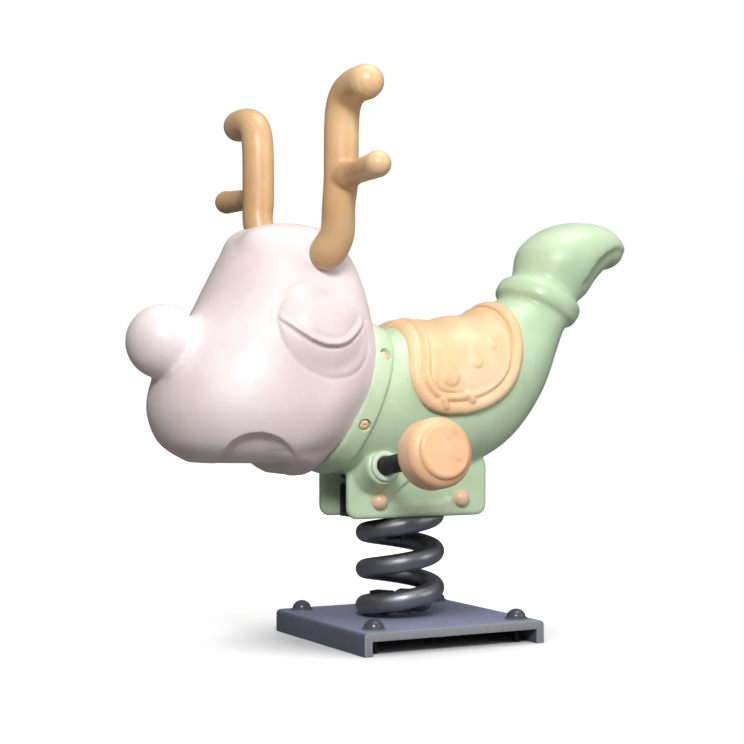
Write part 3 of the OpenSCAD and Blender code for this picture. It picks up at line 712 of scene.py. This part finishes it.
# Face: outlines in picture points, heights in mm
face = {
    "lidEdge": [(277, 317), (290.5, 326), (303.5, 335), (316.5, 342.3),
                (331, 345.8), (345, 342.3), (356, 332), (364.5, 320)],
    "lidTop": [(277, 317), (280.5, 303.5), (290.5, 290), (307, 283),
               (323.5, 284), (343, 293.5), (356, 305), (364.5, 320)],
    "under": [(277, 317), (280.5, 333), (287, 348), (303.5, 366), (323.5, 376),
              (336.5, 378), (353, 374), (364.5, 361), (367.5, 341), (364.5, 320)],
    "mouth": [(205, 482), (211, 468), (217.8, 459.4), (224.7, 449.7), (232, 441.4),
              (245.6, 434.4), (262, 432.5), (276, 435.8), (287, 442.8), (293.3, 450.6),
              (296.5, 458), (297.5, 467), (294, 482), (205, 482)],
    "eyeFrame": (266, 274, 376, 386),
    "eyeRounds": 28,
    "mouthFrame": (200, 424, 304, 484),
    "sideFrom": 30,         # what lies nearer the middle is left plain, and so is what faces away
    "fineFacing": -0.15,
    "shapeFacing": -0.2,
    "lidHeight": 7,
    "lidRound": 42,
    "underHeight": 2.4,
    "underRound": 18,
    "runOut": 6,
    # ridges: height, way from the outline, half width
    "lip": (2.2, 1.5, 5.0),
    "groove": (0.5, 7.5, 3.6),
    "lipCrease": (1.5, 2.6, 3.2),
    "topCrease": (1.05, 0, 4.6),
    "underCrease": (0.7, 0, 4.6),
    "brow": (6, 0, 36),
    "mouthDepth": 15,
    "mouthWall": (-0.3, 2.8),
    "mouthEnd": (266, 297),         # it runs out at the throat, in picture points across and down
    "mouthEndDown": (434, 462),
    "mouthEndLeast": 0.65,
    "mouthSill": (268.5, 271.5),
    "mouthFlat": (-0.7, (0.35, 0.94, 0)),
    "browAt": (268, 38, 592),
}


def headRing(s, n):
    row = station(head["levels"], s)
    a = row[2] * head["halfLength"]
    b = row[3] * head["halfWidth"]
    ring = []
    for t in turns(n):
        e = head["frontSquare"] if cos(t) > 0 else head["rearSquare"]
        ring.append(Vector((row[1] + a * power(cos(t), e), b * power(sin(t), e), row[0])))
    return ring


# Under one inside the head's plain form, over one outside
def headLevel(p):
    levels = head["levels"]
    if p.z <= levels[0][0] or p.z >= levels[-1][0]:
        return 2
    row = station(levels, lastPlace(0, len(levels) - 1, 30, lambda s: station(levels, s)[0] < p.z))
    dx = (p.x - row[1]) / (row[2] * head["halfLength"])
    dy = abs(p.y) / (row[3] * head["halfWidth"])
    e = head["frontSquare"] if dx > 0 else head["rearSquare"]
    return abs(dx) ** e + dy ** e


def ball(name, place, radius):
    piece = add(bpy.ops.mesh.primitive_uv_sphere_add, name, segments=96, ring_count=64, radius=radius * mm,
                location=Vector(place) * mm)
    settle(piece)
    return piece


# Where the nose ball leaves the head, as a closed path for its lip
def noseLipPath():
    c, r = Vector(head["noseAt"]), head["noseRadius"]
    way, across = Vector(head["noseWay"]), Vector((0, 1, 0))
    up = way.cross(across)
    path = []
    for turn in turns(head["noseLipSteps"]):
        out = across * cos(turn) + up * sin(turn)
        bare = lastPlace(*head["noseLipSearch"],
                         lambda a: headLevel(c + r * (way * cos(a) + out * sin(a))) > 1)
        path.append(c + (r + head["noseLipOut"]) * (way * cos(bare) + out * sin(bare)))
    return path


# The lip is full over the nose and on its sides, and runs out below
def noseLipRadius(k):
    turn = 2 * pi * k / head["noseLipSteps"]
    return 1 + (head["noseLip"] - 1) * smoothStep(*head["noseLipEnds"], sin(turn))


# Tube along a closed path of points in mm
def closedTube(name, path, radius, n=16):
    count = len(path)
    middle = sum(path, Vector()) / count
    piece = add(bpy.ops.mesh.primitive_torus_add, name, major_segments=count, minor_segments=n)
    for i, vert in enumerate(piece.data.vertices):
        k, j = divmod(i, n)
        way = (path[(k + 1) % count] - path[k - 1]).normalized()
        out = path[k] - middle
        out = (out - way * out.dot(way)).normalized()
        t = 2 * pi * j / n
        vert.co = (path[k] + radius(k) * (out * cos(t) + way.cross(out) * sin(t))) * mm
    settle(piece)
    faceOut()
    return piece


toView = -Vector(view["ahead"])


# Where the view sees a point (in m), in picture points
def onPicture(p):
    ahead = Vector(view["ahead"])
    right = ahead.cross(Vector((0, 0, 1))).normalized()
    away = p - Vector(view["place"])
    scale = view["lens"] / view["sensor"] * view["width"] / away.dot(ahead)
    middle = view["width"] / 2
    return Vector((middle + scale * away.dot(right), middle - scale * away.dot(right.cross(ahead)), 0))


def within(point, frame):
    u0, v0, u1, v1 = frame
    return u0 < point.x < u1 and v0 < point.y < v1


# A place and a way, both taken to the left side
def toLeft(p, n):
    side = 1 if p.y > 0 else -1
    return side, Vector((p.x, abs(p.y), p.z)), Vector((n.x, side * n.y, n.z))


# Quarter-round rise from zero at an outline to one at a given way in
def dome(d, width):
    t = min(1, d / width)
    return sqrt(1 - (1 - t) ** 2)


def eyeHeight(point, edge, top, under):
    fromEdge, fromTop, fromUnder = edge.gap(point), top.gap(point), under.gap(point)
    h = -ridge(fromTop, face["topCrease"]) - ridge(fromUnder, face["underCrease"])
    if inside(point, top.points + edge.points[::-1]):
        share = 1 - (1 - min(1, fromTop / face["lidRound"])) ** 2
        lip = ridge(fromEdge, face["lip"]) - ridge(fromEdge, face["groove"])
        h += face["lidHeight"] * share + lip * min(1, fromTop / face["runOut"])
    elif inside(point, under.points + edge.points[::-1]):
        h += face["underHeight"] * dome(fromUnder, face["underRound"])
        h -= ridge(fromEdge, face["lipCrease"]) * min(1, fromUnder / face["runOut"])
    return h


def mouthSink(point, mouth, z):
    wayIn = mouth.gap(point) * (1 if inside(point, mouth.points) else -1)
    end = smoothStep(*face["mouthEnd"], point.x)
    runOut = end * max(face["mouthEndLeast"], smoothStep(*face["mouthEndDown"], point.y))
    share = (1 - runOut) * smoothStep(*face["mouthSill"], z) * smoothStep(*face["mouthWall"], wayIn)
    return face["mouthDepth"] * share


# Cuts the faces of part of the picture finer, on both sides of the head, and smooths them
def refine(piece, frame, rounds):
    pickOnly(piece)
    setMode("EDIT")
    bpy.ops.mesh.select_mode(type="FACE")
    cage = bmesh.from_edit_mesh(piece.data)
    for polygon in cage.faces:
        _, p, n = toLeft(polygon.calc_center_median(), polygon.normal)
        shown = p.y > face["sideFrom"] * mm and n.dot(toView) > face["fineFacing"]
        polygon.select_set(shown and within(onPicture(p), frame))
    bmesh.update_edit_mesh(piece.data)
    bpy.ops.mesh.subdivide(number_cuts=1)
    if rounds:
        bpy.ops.mesh.vertices_smooth(factor=0.5, repeat=rounds)
    bpy.ops.mesh.select_mode(type="VERT")
    setMode("OBJECT")


# Brows, lids, creases and mouth, raised and sunk from the plain head
def shapeFace(piece):
    refine(piece, face["eyeFrame"], face["eyeRounds"])
    refine(piece, face["mouthFrame"], 0)
    edge, top, under, mouth = [Curve(face[name]) for name in ("lidEdge", "lidTop", "under", "mouth")]
    brow = Vector(face["browAt"])
    down, flatWay = face["mouthFlat"]           # a face that looks down moves level, this way
    moved = []
    for vert in piece.data.vertices:
        side, p, n = toLeft(vert.co, vert.normal)
        p += n * ridge((p / mm - brow).length, face["brow"]) * mm
        if p.y >= face["sideFrom"] * mm and n.dot(toView) >= face["shapeFacing"]:
            point = onPicture(p)
            if within(point, face["eyeFrame"]):
                p += n * eyeHeight(point, edge, top, under) * mm
            if within(point, face["mouthFrame"]):
                level = Vector((n.x, n.y, 0)) if n.z > down else Vector(flatWay)
                p -= level.normalized() * mouthSink(point, mouth, p.z / mm) * mm
        moved.append(Vector((p.x, side * p.y, p.z)))
    for vert, place in zip(piece.data.vertices, moved):
        vert.co = place
    bake(piece, "SMOOTH", factor=0.5, iterations=2)


# Behind the jaw the head draws in to the collar, and its throat hangs lower
def drawIn(form, centre, way):
    narrow, widen, soft = head["neckRoom"]
    upright = Vector((-way.z, 0, way.x))
    for vert in form.data.vertices:
        ahead = (vert.co / mm - centre).dot(way)
        out = vert.co / mm - centre - way * ahead
        under = smoothStep(*head["underRun"], -out.dot(upright) / out.length)
        room = narrow + (widen + head["throatRoom"] * under) * max(0, ahead)
        share = 1 - smoothStep(*head["drawRun"], out.z)
        p = centre + way * ahead + out * (1 + share * (softLess(out.length, room, soft) / out.length - 1))
        p.z -= ridge((p - Vector(head["throatAt"])).length, head["throatDrop"])
        vert.co = p * mm


# The jaw is cut off level under the mouth, with a sloped back
def cutJaw(form):
    long, wide, deep = [size * mm for size in head["jawCut"]]
    x, z = head["mouthFloorX"] * mm + long / 2, head["mouthFloor"] * mm - deep / 2
    cutter = add(bpy.ops.mesh.primitive_cube_add, "jawCut", size=1, location=(x, 0, z))
    cutter.scale = (long, wide, deep)
    settle(cutter)
    for vert in cutter.data.vertices:
        if vert.co.x < x and vert.co.z < z:
            vert.co.x -= head["mouthSlope"] * deep
    cutAway(form, cutter)


def makeHead():
    levels = places(head["levels"], head["fine"])
    form = loft("headMoulding", [headRing(s, head["ringPoints"]) for s in levels])
    lean = radians(body["collarLean"])
    way = Vector((cos(lean), 0, sin(lean)))
    drawIn(form, Vector(body["collarAt"]), way)
    cutJaw(form)
    pieces = [form, ball("nose", head["noseAt"], head["noseRadius"])]
    pieces.append(closedTube("noseLip", noseLipPath(), noseLipRadius))
    x, y, z = head["eyeAt"]
    for side in (1, -1):
        pieces.append(ball("eye", (x, side * y, z), head["eyeRadius"]))
        pieces.append(turned("pad", head["padOutline"], sideFrame(head["padAt"], head["padRise"], side)))
    r = body["collarRadius"] - head["neckInset"]
    neck = [(r + out, h) for out, h in head["neckSteps"]]
    pieces.append(turned("neck", neck, frameAt(body["collarAt"], way), 96))
    moulding = joinAll("headMoulding", pieces)
    fuse(moulding, head["voxel"], head["softRounds"])
    shapeFace(moulding)
    return moulding


headMoulding = makeHead()
dress(headMoulding, headPlastic, "rider", "pink_white_plastic", "head_shell")
print("stage: head moulded,", triangles(headMoulding), "triangles")


# Saddle: a patch of the body's surface with rolled borders, drops and beads
saddle = {
    "first": 3.55,
    "last": 8.1,
    "reach": 99,
    "wide": 0.23,
    "front": 0.6,
    "rear": 0.08,
    "taper": 3.2,
    "round": 0.65,
    "lift": 1.1,
    "rows": 168,
    "columns": 120,
    # way in from the edge and height over the body
    "border": [(0, 3.0), (1.5, 5.8), (4, 8.2), (8, 9.3), (13, 8.9), (16.5, 7.7),
               (19.6, 3.6), (22.6, 7.4), (25.5, 8.6), (29, 7.6), (33, 6.6)],
    "measureAt": 5,
    "underside": -2,
    "outlineSteps": 600,
    # one more groove along the front: depth, way in, half width, and where it ends along and across
    "frontGroove": (2.6, 32, 3.4),
    "frontEnd": (0.2, 0.3),
    "frontSides": (20, 45),
    # place along, angle from the top, of the drops' upper and lower ends and of the beads
    "drops": [((4.44, 63), (4.53, 75)), ((5.2, 54), (5.27, 65.5)), ((6.36, 50), (6.2, 59))],
    # radius at the lower end and height of each
    "dropSizes": [(15, 3.4), (11.5, 3.0), (8, 2.4)],
    "dropTop": 0.6,
    # crease round a drop: depth, way out, half width
    "dropCrease": (0.4, 0.8, 2.6),
    "beads": [((4.38, 89.5), (4.45, 93.5)), ((4.9, 87), (5.0, 90.5))],
    "beadRadius": 7.5,
    "beadHeight": 12.8,
}


def saddleShare(v):
    if v < saddle["wide"]:
        return saddle["front"] + (1 - saddle["front"]) * sqrt(max(0, 1 - (1 - v / saddle["wide"]) ** 2))
    t = (v - saddle["wide"]) / (1 - saddle["wide"])
    return saddle["rear"] + (1 - saddle["rear"]) * max(0, 1 - t ** saddle["taper"]) ** saddle["round"]


def saddlePoint(v, c, h):
    row = station(body["stations"], saddle["first"] + (saddle["last"] - saddle["first"]) * v)
    return bodyPoint(row, saddle["lift"] + h, radians(c * saddle["reach"] * saddleShare(v)))


# Smooth value of a table of (way, height) pairs
def profile(table, d):
    for (a, low), (b, high) in zip(table, table[1:]):
        if d < b:
            return low + (high - low) * (smoothStep(a, b, d) if a else sin(pi / 2 * d / b))
    return table[-1][1]


def seatPoint(s, angle):
    return bodyPoint(station(body["stations"], s), saddle["measureAt"], radians(angle))


# Share of the way along a run, and the gap to it
def alongRun(p, a, b):
    t = min(1, max(0, (p - a).dot(b - a) / (b - a).length_squared))
    return t, (p - a.lerp(b, t)).length


# Half-round swelling of one at zero
def swell(d, width):
    return sqrt(max(0, 1 - (d / width) ** 2))


def saddleHeight(p, d, v):
    front = (1 - smoothStep(*saddle["frontEnd"], v)) * smoothStep(*saddle["frontSides"], abs(p.y))
    h = profile(saddle["border"], d) - front * ridge(d, saddle["frontGroove"])
    near = Vector((p.x, abs(p.y), p.z))
    for (top, low), (radius, high) in zip(saddleDrops, saddle["dropSizes"]):
        t, away = alongRun(near, top, low)
        r = radius * (saddle["dropTop"] + (1 - saddle["dropTop"]) * t)
        h += t * (high * swell(away, r) - ridge(away - r, saddle["dropCrease"]))
    for top, low in saddleBeads:
        away = alongRun(near, top, low)[1]
        h = max(h, saddle["beadHeight"] * swell(away, saddle["beadRadius"]))
    return h


saddleDrops = [[seatPoint(*end) for end in run] for run in saddle["drops"]]
saddleBeads = [[seatPoint(*end) for end in run] for run in saddle["beads"]]


def makeSaddle():
    level, outline, rings = saddle["measureAt"], [], []
    for i in range(saddle["outlineSteps"] + 1):
        t = i / saddle["outlineSteps"]
        along = 0.5 - 0.5 * cos(pi * t)
        for v, c in ((0, 2 * t - 1), (1, 2 * t - 1), (along, 1), (along, -1)):
            outline.append(saddlePoint(v, c, level))
    tree = treeOf(outline)
    shares = [j / saddle["columns"] for j in range(-saddle["columns"], saddle["columns"] + 1)]
    for i in range(saddle["rows"] + 1):
        v = 0.5 - 0.5 * cos(pi * i / saddle["rows"])       # rows close up at both ends
        ring = []
        for c in shares:
            p = saddlePoint(v, c, level)
            ring.append(saddlePoint(v, c, saddleHeight(p, tree.find(p)[2], v)))
        ring += [saddlePoint(v, c, saddle["underside"]) for c in reversed(shares)]
        rings.append(ring)
    piece = loft("saddleCover", rings)
    return shade(piece, 60)


saddleCover = makeSaddle()
dress(saddleCover, seatPlastic, "rider", "peach_plastic", "saddle")
print("stage: saddle laid,", triangles(saddleCover), "triangles")


# Antlers: a round shaft from the pad up and out to its tip, with one prong
antler = {
    "shaftX": 184,
    "shaftY": 143,
    "radius": 24.5,
    "topZ": 794,
    "tipY": 220,
    "prongZ": 672,
    "prongTipY": 261,
    "voxel": 2.2,
    "softRounds": 5,
}


def makeAntler():
    x, y, z = head["padAt"]
    rise = radians(head["padRise"])
    away = Vector((0, cos(rise), sin(rise)))
    r, sx, sy = antler["radius"], antler["shaftX"], antler["shaftY"]
    top, prong = antler["topZ"], antler["prongZ"]
    root = Vector((x, y, z))
    knots = [
        [*root, r], [*(root + 14 * away), r + 1.5], [x - 6, sy - 16, z + 26, r],
        [sx + 2, sy - 3, z + 66, r - 1], [sx, sy, prong, r], [sx, sy + 2, top - 44, r],
        [sx, sy + 14, top - 12, r], [sx, sy + 42, top, r], [sx, antler["tipY"], top + 1, r]]
    shaft = loft("antlerLeft", tubeRings(through(knots, 8), 32, roundStart=False))
    tip = antler["prongTipY"]
    limb = [[sx, sy, prong, r - 1], [sx + 1, sy + 26, prong + 1, r - 5], [sx + 1, sy + 48, prong + 3, r - 8],
            [sx + 3, tip - 18, prong + 5, r - 7], [sx + 4, tip, prong + 6, r - 6]]
    spur = loft("prong", tubeRings(through(limb, 6), 32))
    piece = joinAll("antlerLeft", [shaft, spur])
    fuse(piece, antler["voxel"], antler["softRounds"])
    return piece


antlerLeft = makeAntler()
antlerRight = otherSide(antlerLeft, "antlerRight")
dress(antlerLeft, antlerPlastic, "rider", "tan_plastic", "antler_left")
dress(antlerRight, antlerPlastic, "rider", "tan_plastic", "antler_right")
print("stage: antlers made,", triangles(antlerLeft), "triangles each")


# Foot pegs: textured sleeve and a round puck with a raised face
peg = {
    "sleeveDiameter": 27,
    "sleeveLength": 124,
    "sleeveBore": 19.2,
    "sleeveEdge": 1.2,
    "sleeveGap": 0.2,
    "gripRings": 90,
    # stipple: scale, height and how far it is sunk
    "stipple": (0.42, 0.5, 0.25),
    "knobDiameter": 99,
    "knobThickness": 54,
    "knobRound": 15,
    "knobBack": [(4, 0.6), (14, 0.3)],
    "faceDiameter": 78,
    "faceHeight": 6,
    # step at the foot of the face: way out from it, and height
    "faceFoot": [(2.4, -1.2), (1.0, -0.7), (0.3, 0.2), (0, 1.4)],
    # runs on the knob's face with their width and depth
    "faceMarks": [((6, 12), (20, 20), 11, 0.9), ((18, -16), (20, -17), 6, 0.9)],
}


def makeSleeve(side):
    r, long, bore = peg["sleeveDiameter"] / 2, peg["sleeveLength"], peg["sleeveBore"] / 2
    count, edge, gap = peg["gripRings"], peg["sleeveEdge"], peg["sleeveGap"]
    outline = [(bore, gap), (r - edge, gap), (r, edge)]
    outline += [(r, edge + (long - 2 * edge) * i / count) for i in range(1, count)]
    outline += [(r, long - edge), (r - edge, long - gap), (bore, long - gap)]
    place = pegFrame(side)
    piece = turned("footSleeve" + sideName[side], outline, place, 72)
    back = place.inverted()
    scale, high, sunk = peg["stipple"]
    for vert in piece.data.vertices:
        p = back @ (vert.co / mm)
        if abs(p.z - long / 2) < long / 2 - 2:
            p += Vector((p.x, p.y, 0)).normalized() * (noise.noise(p * scale) * high - sunk)
            vert.co = (place @ p) * mm
    return shade(piece, 60)


def makeKnob(side):
    r, t, e = peg["knobDiameter"] / 2, peg["knobThickness"], peg["knobRound"]
    f, h = peg["faceDiameter"] / 2, peg["faceHeight"]
    outline = peg["knobBack"] + [(r - e, 0)]
    outline += arc(r - e, e, e, range(-81, 1, 9)) + arc(r - e, t - e, e, range(0, 64, 9))
    outline += [(f + out, t + up) for out, up in peg["faceFoot"]]
    outline += arc(f - h, t, h, range(18, 91, 12))
    outline += [(x, t + h) for x in range(int(f - h) - 2, 1, -2)]
    place = pegFrame(side) @ Matrix.Translation((0, 0, peg["sleeveLength"]))
    piece = turned("footKnob" + sideName[side], outline, place, 96)
    back = place.inverted()
    for vert in piece.data.vertices:          # the moulded mark on the face: a shallow cleft and a small dent
        p = back @ (vert.co / mm)
        if p.z < t + h - 0.5:
            continue
        across = Vector((p.x, p.y, 0))
        for start, end, width, deep in peg["faceMarks"]:
            away = alongRun(across, Vector((*start, 0)), Vector((*end, 0)))[1]
            p.z -= deep * bump(away, width)
        vert.co = (place @ p) * mm
    return shade(piece, 45)


for side in (1, -1):
    dress(makeSleeve(side), rubber, "rider", "black_rubber", "foot_sleeve_" + sideName[side].lower())
    dress(makeKnob(side), knobPlastic, "rider", "peach_plastic", "foot_knob_" + sideName[side].lower())
print("stage: pegs fitted")


# Spring: one round wire, in two runs
spring = {
    "axisX": 12,
    "wire": 29,
    "coil": 106,
    "pitch": 55.4,
    "lowZ": 48.8,
    "deadTurn": 132,
    "startTurn": -28,
    "leadIn": 30,
    "turns": 2.66,
    "topZ": 185,
    "splitZ": 112,
    "steps": 6,
}


def wireAt(turn):
    lead, into = turn, spring["leadIn"]
    if turn < -into:
        lead = 0
    elif turn <= into:
        lead = (turn + into) ** 2 / (4 * into)
    a = radians(turn + spring["startTurn"])
    r, z = spring["coil"] / 2, spring["lowZ"] + spring["pitch"] * lead / 360
    return spring["axisX"] + r * cos(a), r * sin(a), z, spring["wire"] / 2


def makeWire(name, first, last):
    count = int((last - first) / spring["steps"])
    path = [wireAt(first + (last - first) * i / count) for i in range(count + 1)]
    piece = loft(name, tubeRings(path, 40, nose=(40, 70)))
    for vert in piece.data.vertices:            # ground flat on top
        vert.co.z = min(vert.co.z, spring["topZ"] * mm)
    return shade(piece, 40)


splitTurn = (spring["splitZ"] - spring["lowZ"]) / spring["pitch"] * 360
# each run's turns, the bodies below and above it, and a low and a high height in m
wireRuns = [("springLower", -spring["deadTurn"], splitTurn, "base", "spring", 0.045, 0.097),
            ("springUpper", splitTurn, spring["turns"] * 360, "spring", "rider", 0.127, 0.178)]
for name, first, last, below, above, low, high in wireRuns:
    piece = makeWire(name, first, last)
    paint(piece.data, springPaint)
    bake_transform(piece)
    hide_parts("spring")
print("stage: spring wound")


# Base: folded channel with rounded bends and softened edges
base = {
    "length": 300,
    "width": 300,
    "height": 34,
    "thick": 13,
    "bend": 7,
    "edge": 1.2,
}


def makeBase():
    half, h, t, r = base["length"] / 2, base["height"], base["thick"], base["bend"]
    right = arc(half - r, h - r, r, [90 - 11.25 * a for a in range(9)])
    right += [(half, 0), (half - t, 0), (half - t, h - t - 1), (half - t - 1, h - t)]
    section = right + [(-x, z) for x, z in reversed(right)]
    ends = (-base["width"] / 2, base["width"] / 2)
    piece = loft("basePlate", [[Vector((x, y, z)) for x, z in section] for y in ends])
    bake(piece, "BEVEL", width=base["edge"] * mm, segments=3, limit_method="ANGLE", angle_limit=1.0)
    return shade(piece, 30)


basePlate = makeBase()
dress(basePlate, basePaint, "base", "dark_paint", "base_plate")
print("stage: base folded")


# Caps and screw heads: domes with a rolled foot
caps = {
    "boltPlaces": [(75, 52, 212), (-65, 52, 212)],
    "boltSize": (26, 12),
    "anchorPlaces": [(120, 120, 36.5), (120, -120, 36.5), (-120, 120, 36.5), (-120, -120, 36.5)],
    "anchorSize": (29, 13),
    "screwSize": (15.5, 5),
    "screwDepth": 4.8,
    "socket": 2.6,
    "foot": (1.2, 0.18),    # least height, and share of the whole
    "edge": 0.5,
    "tip": 0.4,
    "steps": 14,
}


def domeOutline(size, socket=0):
    width, high = size
    least, share = caps["foot"]
    edge, tip, steps = caps["edge"], caps["tip"], caps["steps"]
    r, foot = width / 2, max(least, share * high)
    rise = high - foot
    sphere = (r * r + rise * rise) / (2 * rise)
    reach = asin(min(1, r / sphere)) if rise <= r else pi / 2
    outline = [(r * 0.7, 0), (r - edge, 0), (r, edge), (r, foot - 0.4), (r - edge, foot)]
    for i in range(1, steps):
        a = reach * (1 - i / steps)
        x = sphere * sin(a)
        if socket + tip < x < r - edge:
            outline.append((x, high - sphere + sphere * cos(a)))
    if socket:
        outline += [(socket, high - 0.2), (socket - 0.3, high - 0.8), (socket - 0.4, high - 2.2),
                    (tip, high - 2.2)]
    else:
        outline.append((tip, high))
    return outline


def makeCaps(name, frames, size, socket=0):
    piece = joinAll(name, [turned(name, domeOutline(size, socket), place, 48) for place in frames])
    return shade(piece, 40)


boltFrames = [frameAt((x, side * y, z), (0, side, 0)) for x, y, z in caps["boltPlaces"] for side in (1, -1)]
anchorFrames = [frameAt(place, (0, 0, 1)) for place in caps["anchorPlaces"]]
sunk = Matrix.Translation((0, 0, -caps["screwDepth"]))
screwFrames = [screwFrame(*screw) @ sunk for screw in body["screws"]]
boltCaps = makeCaps("boltCaps", boltFrames, caps["boltSize"])
anchorCaps = makeCaps("anchorCaps", anchorFrames, caps["anchorSize"])
collarScrews = makeCaps("collarScrews", screwFrames, caps["screwSize"], caps["socket"])
dress(boltCaps, capPlastic, "rider", "orange_cap", "bolt_caps")
dress(anchorCaps, capPaint, "base", "dark_cap", "anchor_caps")
dress(collarScrews, capPlastic, "rider", "orange_cap", "collar_screws")
print("stage: caps set")


# CAD nodes that stay on show take a finish of their own
nodeFinish = [
    (capPaint, ["anchor_washers"]),
    # near black: painted shade over the bracket, clamps and anchor bolts in their dark gaps
    (darkPaint, ["anchor_bolts", "lower_clamps", "lower_clamp_bolts", "top_bracket", "upper_clamps",
                 "upper_clamp_bolts"]),
    (zinc, ["lower_clamp_nuts", "upper_clamp_nuts", "mount_bolts", "mount_nuts", "antler_studs",
            "antler_nuts", "foot_peg_left", "foot_peg_right", "peg_nuts"]),
]
for finish, names in nodeFinish:
    for name in names:
        paint(frame["nodes"][name].data, finish)
print("stage: fasteners finished")


# Studio: white floor and background, soft light from overhead
studio = {
    "skyTop": 0.3,
    "skyLow": 0.05,
    "skyFrom": -0.1,
    "aim": (0, 0, 0.42),
    "floorSize": 40,
    "floorRough": 0.9,
    "floorShine": 0.05,
    "floorBounce": 0.22,
    "floorShade": 0.8,
    # way from the middle and glow of the floor there
    "floorGlow": [(0.17, 0.0), (0.3, 0.42), (1.1, 1.0)],
    # place, size and strength
    "lights": {
        "keyLight": ((1.08, 2.05, 1.7), 0.8, 58),
        "frontLight": ((2.4, 1.3, 1.2), 1.5, 4),
        "sideLight": ((-1.7, 2.0, 1.2), 1.5, 17),
        "topLight": ((-0.5, 0.2, 2.9), 1.7, 34),
    },
}


def evenGrey(value):
    return (value, value, value, 1)


floor = add(bpy.ops.mesh.primitive_plane_add, "floor", size=studio["floorSize"])
floorTree = Tree("floorPaint")
floorTree.feed(evenGrey(studio["floorShade"]), "Base Color")
floorTree.feed(studio["floorRough"], "Roughness")
floorTree.feed(studio["floorShine"], "Specular IOR Level")
floorTree.feed(evenGrey(1), "Emission Color")
far = studio["floorGlow"][-1][0]
away = floorTree.spread(floorTree.measure("VectorMath", "LENGTH", floorTree.coords), 0, far, 0, 1)
stops = [(way / far, evenGrey(strength)) for way, strength in studio["floorGlow"]]
floorTree.feed(floorTree.ramp(away, stops), "Emission Strength")
bounce = floorTree.node("BsdfDiffuse", {"Color": evenGrey(studio["floorBounce"])})
floorTree.split(floorTree.shader, bounce, "Material Output")
floor.data.materials.append(floorTree.material)

for name, (place, size, strength) in studio["lights"].items():
    lamp = add(bpy.ops.object.light_add, name, type="AREA", location=place)
    lamp.data.shape = "DISK"
    lamp.data.size = size
    lamp.data.energy = strength
    lamp.rotation_euler = (Vector(studio["aim"]) - Vector(place)).to_track_quat("-Z", "Y").to_euler()

world = bpy.context.scene.world or bpy.data.worlds.new("studioWorld")
bpy.context.scene.world = world
sky = Tree("sky", world, "Background", "Generated")
sky.feed(evenGrey(1), "Color")
height = sky.parts(sky.coords)["Z"]
sky.feed(sky.spread(height, studio["skyFrom"], 1, studio["skyLow"], studio["skyTop"]), "Strength")
white = sky.node("Background", {"Color": evenGrey(1)})
sky.split(white, sky.shader, "World Output")

bpy.ops.object.camera_add(location=view["place"])
camera = bpy.context.object
camera.rotation_euler = Vector(view["ahead"]).to_track_quat("-Z", "Y").to_euler()
camera.data.lens = view["lens"]
camera.data.sensor_width = view["sensor"]
bpy.context.scene.camera = camera
bpy.context.scene.view_settings.view_transform = "Standard"
print("stage: studio set")
